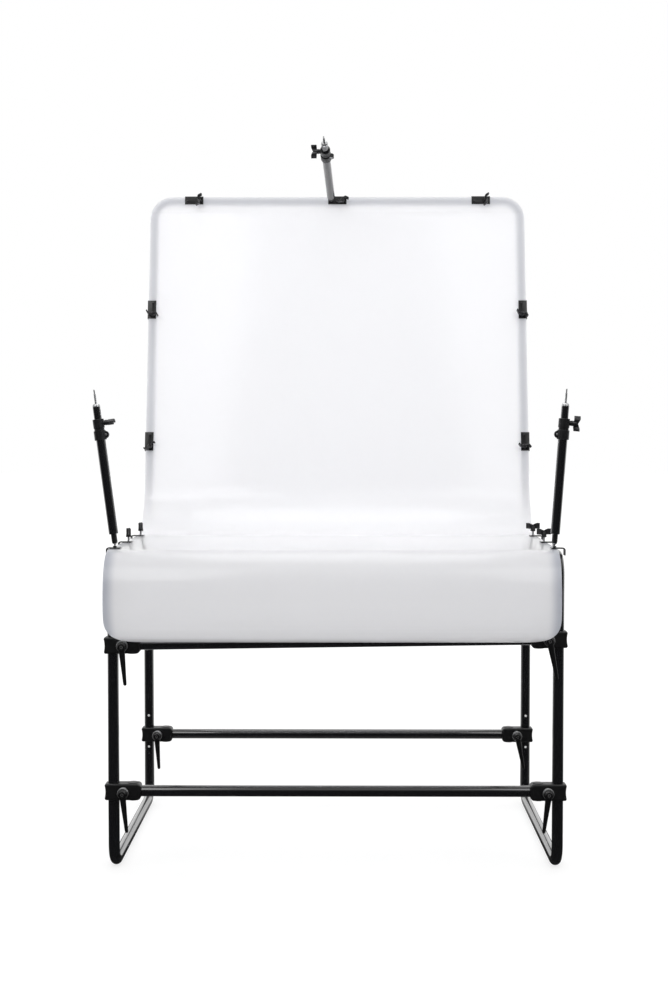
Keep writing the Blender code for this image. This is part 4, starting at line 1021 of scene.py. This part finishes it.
class TABLE_OT_arms(bpy.types.Operator):
    """Adds the three accessory arms"""

    bl_idname = "table.arms"
    bl_label = "Accessory arms"

    def execute(self, context):
        colours = context.scene.table_colours
        black, nylon, zinc = powder_coat(colours), filled_nylon(colours), zinc_plate(colours)
        for arm in (*SIDES, "top"):
            shank = 0.0 if arm == "top" else 0.0229
            ear_turn = 0.0 if arm == "left" else math.pi
            swivel = joint_place(f"swivel_arm_{arm}", (1, 0, 0))
            up, out = (JOINTS[f"{name}_{arm}"]["axis"] for name in ("extend_arm", "turn_arm_knob"))
            place = axes(swivel.translation, up, out)
            for node, body, slot, finishes, shape, where in (
                ("arm_ball", "arm_swivel", "steel", [zinc, black], self.ball(shank), swivel),
                ("arm_tube", "arm", "tube", [black, nylon, zinc], self.outer(ear_turn), place),
                ("arm_rod", "arm_rod", "tube", [black, zinc], self.inner(), place),
            ):
                finished(f"{node}_{arm}", shape, f"{body}_{arm}", finishes, where)
        return {"FINISHED"}

    def ball(self, shank):
        """A ball on its neck, with a hexagon nut at the foot and perhaps a threaded shank."""
        whole = bmesh.new()
        radius, foot = 0.004, -0.0092
        turns = [math.pi * step / 16 for step in range(14)]
        profile = [(radius * math.sin(turn), radius * math.cos(turn)) for turn in turns]
        profile += [(0.0018, -0.0042), (0.0018, -0.0070), (0.0, -0.0070)]
        join(whole, turned(profile, 32))
        join(whole, rod((0, 0, -0.0093), (0, 0, -0.0063), 0.0045, 6, 0.0003), finish=1)
        if shank:
            join(whole, turned(threaded(0.0025, foot - shank, foot), 20))
        return whole

    def outer(self, ear_turn):
        """The outer tube with its taper plug and its two-part clamping collar."""
        plug, tube, low, high, top = 0.0205, 0.2325, 0.2541, 0.2588, 0.2795
        whole = bmesh.new()
        taper_plug = [
            (0.0, plug),
            (0.0058, plug),
            (0.0064, plug - 0.0008),
            (0.0064, 0.0035),
            (0.0060, 0.0012),
            (0.0055, -0.0006),
            (0.0044, -0.0007),
            (0.0043, 0.0010),
            (0.0, 0.0044),
        ]
        join(whole, turned(taper_plug), finish=1)
        outer_tube = [
            (0.0090, tube + 0.002),
            (0.0105, tube + 0.002),
            (0.0105, plug + 0.0006),
            (0.0099, plug),
            (0.0, plug),
        ]
        join(whole, turned(outer_tube))
        collar = [
            (0.0088, top - 0.0002),
            (0.0091, top),
            (0.0120, top),
            (0.0125, top - 0.0006),
            (0.0125, high + 0.0010),
            (0.0120, high + 0.0004),
            (0.0113, high),
            (0.0113, low),
            (0.0128, low - 0.0003),
            (0.0135, low - 0.0010),
            (0.0135, tube + 0.0006),
            (0.0129, tube),
            (0.0103, tube),
        ]
        join(whole, turned(collar), finish=1)
        seat, middle = top - 0.0095, (tube + low) / 2
        join(whole, rod((0.0095, 0, seat), (0.0150, 0, seat), 0.0058, 32, 0.0005), finish=1)
        # Two ears with a bolt through them close the collar's lower part
        turn = Matrix.Rotation(ear_turn, 4, "Z")
        x, half = 0.0115, 0.0019
        for y in (-0.0026, 0.0026):
            ear = rod((x, y - half, middle), (x, y + half, middle), 0.0085, 32, 0.0004)
            join(whole, ear, turn, finish=1)
        bolt = rod((0.0135, -0.0052, middle), (0.0135, 0.0052, middle), 0.0028, 20, 0.0003)
        join(whole, bolt, turn, finish=2)
        return whole

    def inner(self):
        """The inner tube with its capped end and thin stud."""
        top, bottom, tip = 0.3145, 0.0700, 0.3460
        whole = bmesh.new()
        inner_tube = [
            (0.0, top - 0.0075),
            (0.0085, top - 0.0075),
            (0.0085, bottom),
            (0.0072, bottom),
            (0.0072, top - 0.012),
            (0.0, top - 0.012),
        ]
        join(whole, turned(inner_tube))
        # A turned zinc-plated plug closes the tube and carries the stud
        plug = [
            (0.0, top),
            (0.0040, top),
            (0.0062, top - 0.0010),
            (0.0079, top - 0.0032),
            (0.0084, top - 0.0052),
            (0.0085, top - 0.0074),
            (0.0, top - 0.0074),
        ]
        join(whole, turned(plug), finish=1)
        join(whole, turned(threaded(0.0025, top - 0.001, tip - 0.0095), 24), finish=1)
        point = [
            (0.0, tip),
            (0.0013, tip),
            (0.0017, tip - 0.0005),
            (0.0017, tip - 0.0096),
            (0.0, tip - 0.0096),
        ]
        join(whole, turned(point, 24), finish=1)
        return whole


class TABLE_OT_studio(bpy.types.Operator):
    """Adds the floor, the lamps, the world and the camera"""

    bl_idname = "table.studio"
    bl_label = "Studio"

    def execute(self, context):
        self.floor()
        self.lamps()
        self.world(context.scene)
        self.camera(context.scene)
        context.scene.view_settings.view_transform = "Standard"
        return {"FINISHED"}

    def floor(self):
        """White paint that glows where it is seen, so that the table's shadow stays faint. The
        table's gloss mirrors it as lit behind the table and dark in front."""
        white = bpy.data.materials.new("white_floor")
        tree = bare_tree(white)
        paint = add_node(
            tree,
            "ShaderNodeBsdfPrincipled",
            {
                "Base Color": (0.8, 0.8, 0.8, 1.0),
                "Specular IOR Level": 0.0,
                "Emission Color": WHITE,
                "Emission Strength": 0.3,
            },
        )
        shade = add_node(tree, "ShaderNodeBsdfDiffuse", {"Color": (0.3, 0.3, 0.3, 1.0)})
        place = add_node(tree, "ShaderNodeTexCoord").outputs["Object"]
        away = add_node(tree, "ShaderNodeVectorMath", {0: place}, operation="LENGTH")
        split = add_node(tree, "ShaderNodeSeparateXYZ", {"Vector": place})
        # The glow grows away from the table, and what gloss mirrors grows from front to back
        lights = []
        for ramp in (
            (away.outputs["Value"], 1.0, 3.0, 0.76, 0.90),
            (split.outputs["Y"], -0.1, 1.2, 0.02, 0.9),
        ):
            ramp = dict(zip(RAMP, ramp))
            ramp = add_node(tree, "ShaderNodeMapRange", ramp, interpolation_type="SMOOTHSTEP")
            light = {"Color": WHITE, "Strength": ramp.outputs["Result"]}
            lights.append(add_node(tree, "ShaderNodeEmission", light))
        glow, mirrored = lights
        seen = add_node(tree, "ShaderNodeAddShader", {0: shade.outputs[0], 1: glow.outputs[0]})
        face = paint
        for kinds, choice in (
            (("Is Camera Ray", "Is Transmission Ray"), seen),
            (("Is Glossy Ray",), mirrored),
        ):
            pair = {1: face.outputs[0], 2: choice.outputs[0]}
            mixed = {"Fac": self.rays(tree, kinds), **pair}
            face = add_node(tree, "ShaderNodeMixShader", mixed)
        add_node(tree, "ShaderNodeOutputMaterial", {"Surface": face.outputs[0]})
        shape = bmesh.new()
        bmesh.ops.create_grid(shape, x_segments=1, y_segments=1, size=30.0)
        as_object("floor", shape, [white])

    def rays(self, tree, kinds):
        """1 on rays of these kinds, and 0 on the others."""
        path = add_node(tree, "ShaderNodeLightPath")
        value = path.outputs[kinds[0]]
        for kind in kinds[1:]:
            pair = {0: value, 1: path.outputs[kind]}
            value = add_node(tree, "ShaderNodeMath", pair, operation="MAXIMUM").outputs[0]
        return value

    def lamps(self):
        """Two large softboxes high in front and one above."""
        aim = Vector((0, -0.2, 0.7))
        for name, spot, size, power in (
            ("key_softbox", (-2.4, -3.0, 3.4), 2.4, 43.0),
            ("fill_softbox", (2.6, -2.8, 3.2), 2.4, 36.0),
            ("top_softbox", (0.0, 0.4, 4.0), 2.6, 40.0),
        ):
            lamp = bpy.data.lights.new(name, "AREA")
            lamp.shape = "SQUARE"
            lamp.size = size
            lamp.energy = power
            holder = bpy.data.objects.new(name, lamp)
            holder.location = spot
            holder.rotation_euler = (aim - Vector(spot)).to_track_quat("-Z", "Y").to_euler()
            bpy.context.scene.collection.objects.link(holder)

    def world(self, scene):
        """White for the eye and through the sheet. What lights the table and shows in its gloss is
        white behind it and overhead, and dim in front near the horizon."""
        scene.world = bpy.data.worlds.new("studio")
        tree = bare_tree(scene.world)
        place = add_node(tree, "ShaderNodeTexCoord").outputs["Generated"]
        split = add_node(tree, "ShaderNodeSeparateXYZ", {"Vector": place})
        dim, levels = 0.04, {}
        for axis, low, high, most in (("Y", -0.25, 0.45, 1.0), ("Z", 0.25, 0.75, 0.62)):
            ramp = dict(zip(RAMP, (split.outputs[axis], low, high, dim, most)))
            ramp = add_node(tree, "ShaderNodeMapRange", ramp, interpolation_type="SMOOTHSTEP")
            levels[len(levels)] = ramp.outputs["Result"]
        level = add_node(tree, "ShaderNodeMath", levels, operation="MAXIMUM").outputs[0]
        seen = self.rays(tree, ("Is Camera Ray", "Is Transmission Ray"))
        strength = add_node(tree, "ShaderNodeMix", {"Factor": seen, "A": level, "B": 1.0})
        light = {"Color": WHITE, "Strength": strength.outputs["Result"]}
        background = add_node(tree, "ShaderNodeBackground", light)
        add_node(tree, "ShaderNodeOutputWorld", {"Surface": background.outputs[0]})

    def camera(self, scene):
        """A 56 mm view from 3.5 m in front of the legs, a little right of the middle. It is turned
        down and to the left as the photograph's vanishing point gives it."""
        data = bpy.data.cameras.new("camera")
        data.sensor_fit = "VERTICAL"
        data.sensor_height = 36.0
        data.lens = 56.6
        camera = bpy.data.objects.new("camera", data)
        focal_pixels, pixels_down, pixels_left = 1572, 72, 11.76
        pitch, yaw = math.atan(pixels_down / focal_pixels), math.atan(pixels_left / focal_pixels)
        forward = Vector(
            (
                -math.sin(yaw) * math.cos(pitch),
                math.cos(yaw) * math.cos(pitch),
                -math.sin(pitch),
            )
        )
        turn = forward.to_track_quat("-Z", "Y").to_matrix().to_4x4()
        aside, distance, height = 0.0228, 3.5, 0.993
        camera.matrix_world = Matrix.Translation((aside, FRONT_Y - distance, height)) @ turn
        scene.collection.objects.link(camera)
        scene.camera = camera


class TABLE_PT_panel(bpy.types.Panel):
    """The shooting table's steps, sizes and colours"""

    bl_label = "Shooting Table"
    bl_idname = "TABLE_PT_panel"
    bl_space_type = "VIEW_3D"
    bl_region_type = "UI"
    bl_category = "Shooting Table"

    def draw(self, context):
        for step in OPERATORS:
            self.layout.operator(step.bl_idname)
        for group in (context.scene.table_sizes, context.scene.table_colours):
            box = self.layout.box()
            for name in group.__annotations__:
                box.prop(group, name)


OPERATORS = (
    TABLE_OT_sheet,
    TABLE_OT_side_loops,
    TABLE_OT_crossbars,
    TABLE_OT_backrest_loop,
    TABLE_OT_clamps,
    TABLE_OT_plates,
    TABLE_OT_levers,
    TABLE_OT_wing_knobs,
    TABLE_OT_arms,
    TABLE_OT_studio,
)
CLASSES = (TableSizes, TableColours, *OPERATORS, TABLE_PT_panel)


def register():
    for entry in CLASSES:
        bpy.utils.register_class(entry)
    bpy.types.Scene.table_sizes = bpy.props.PointerProperty(type=TableSizes)
    bpy.types.Scene.table_colours = bpy.props.PointerProperty(type=TableColours)


def unregister():
    del bpy.types.Scene.table_sizes
    del bpy.types.Scene.table_colours
    for entry in reversed(CLASSES):
        bpy.utils.unregister_class(entry)


def main():
    register()
    for step in OPERATORS:
        group, name = step.bl_idname.split(".")
        getattr(getattr(bpy.ops, group), name)()


if __name__ == "__main__":
    main()
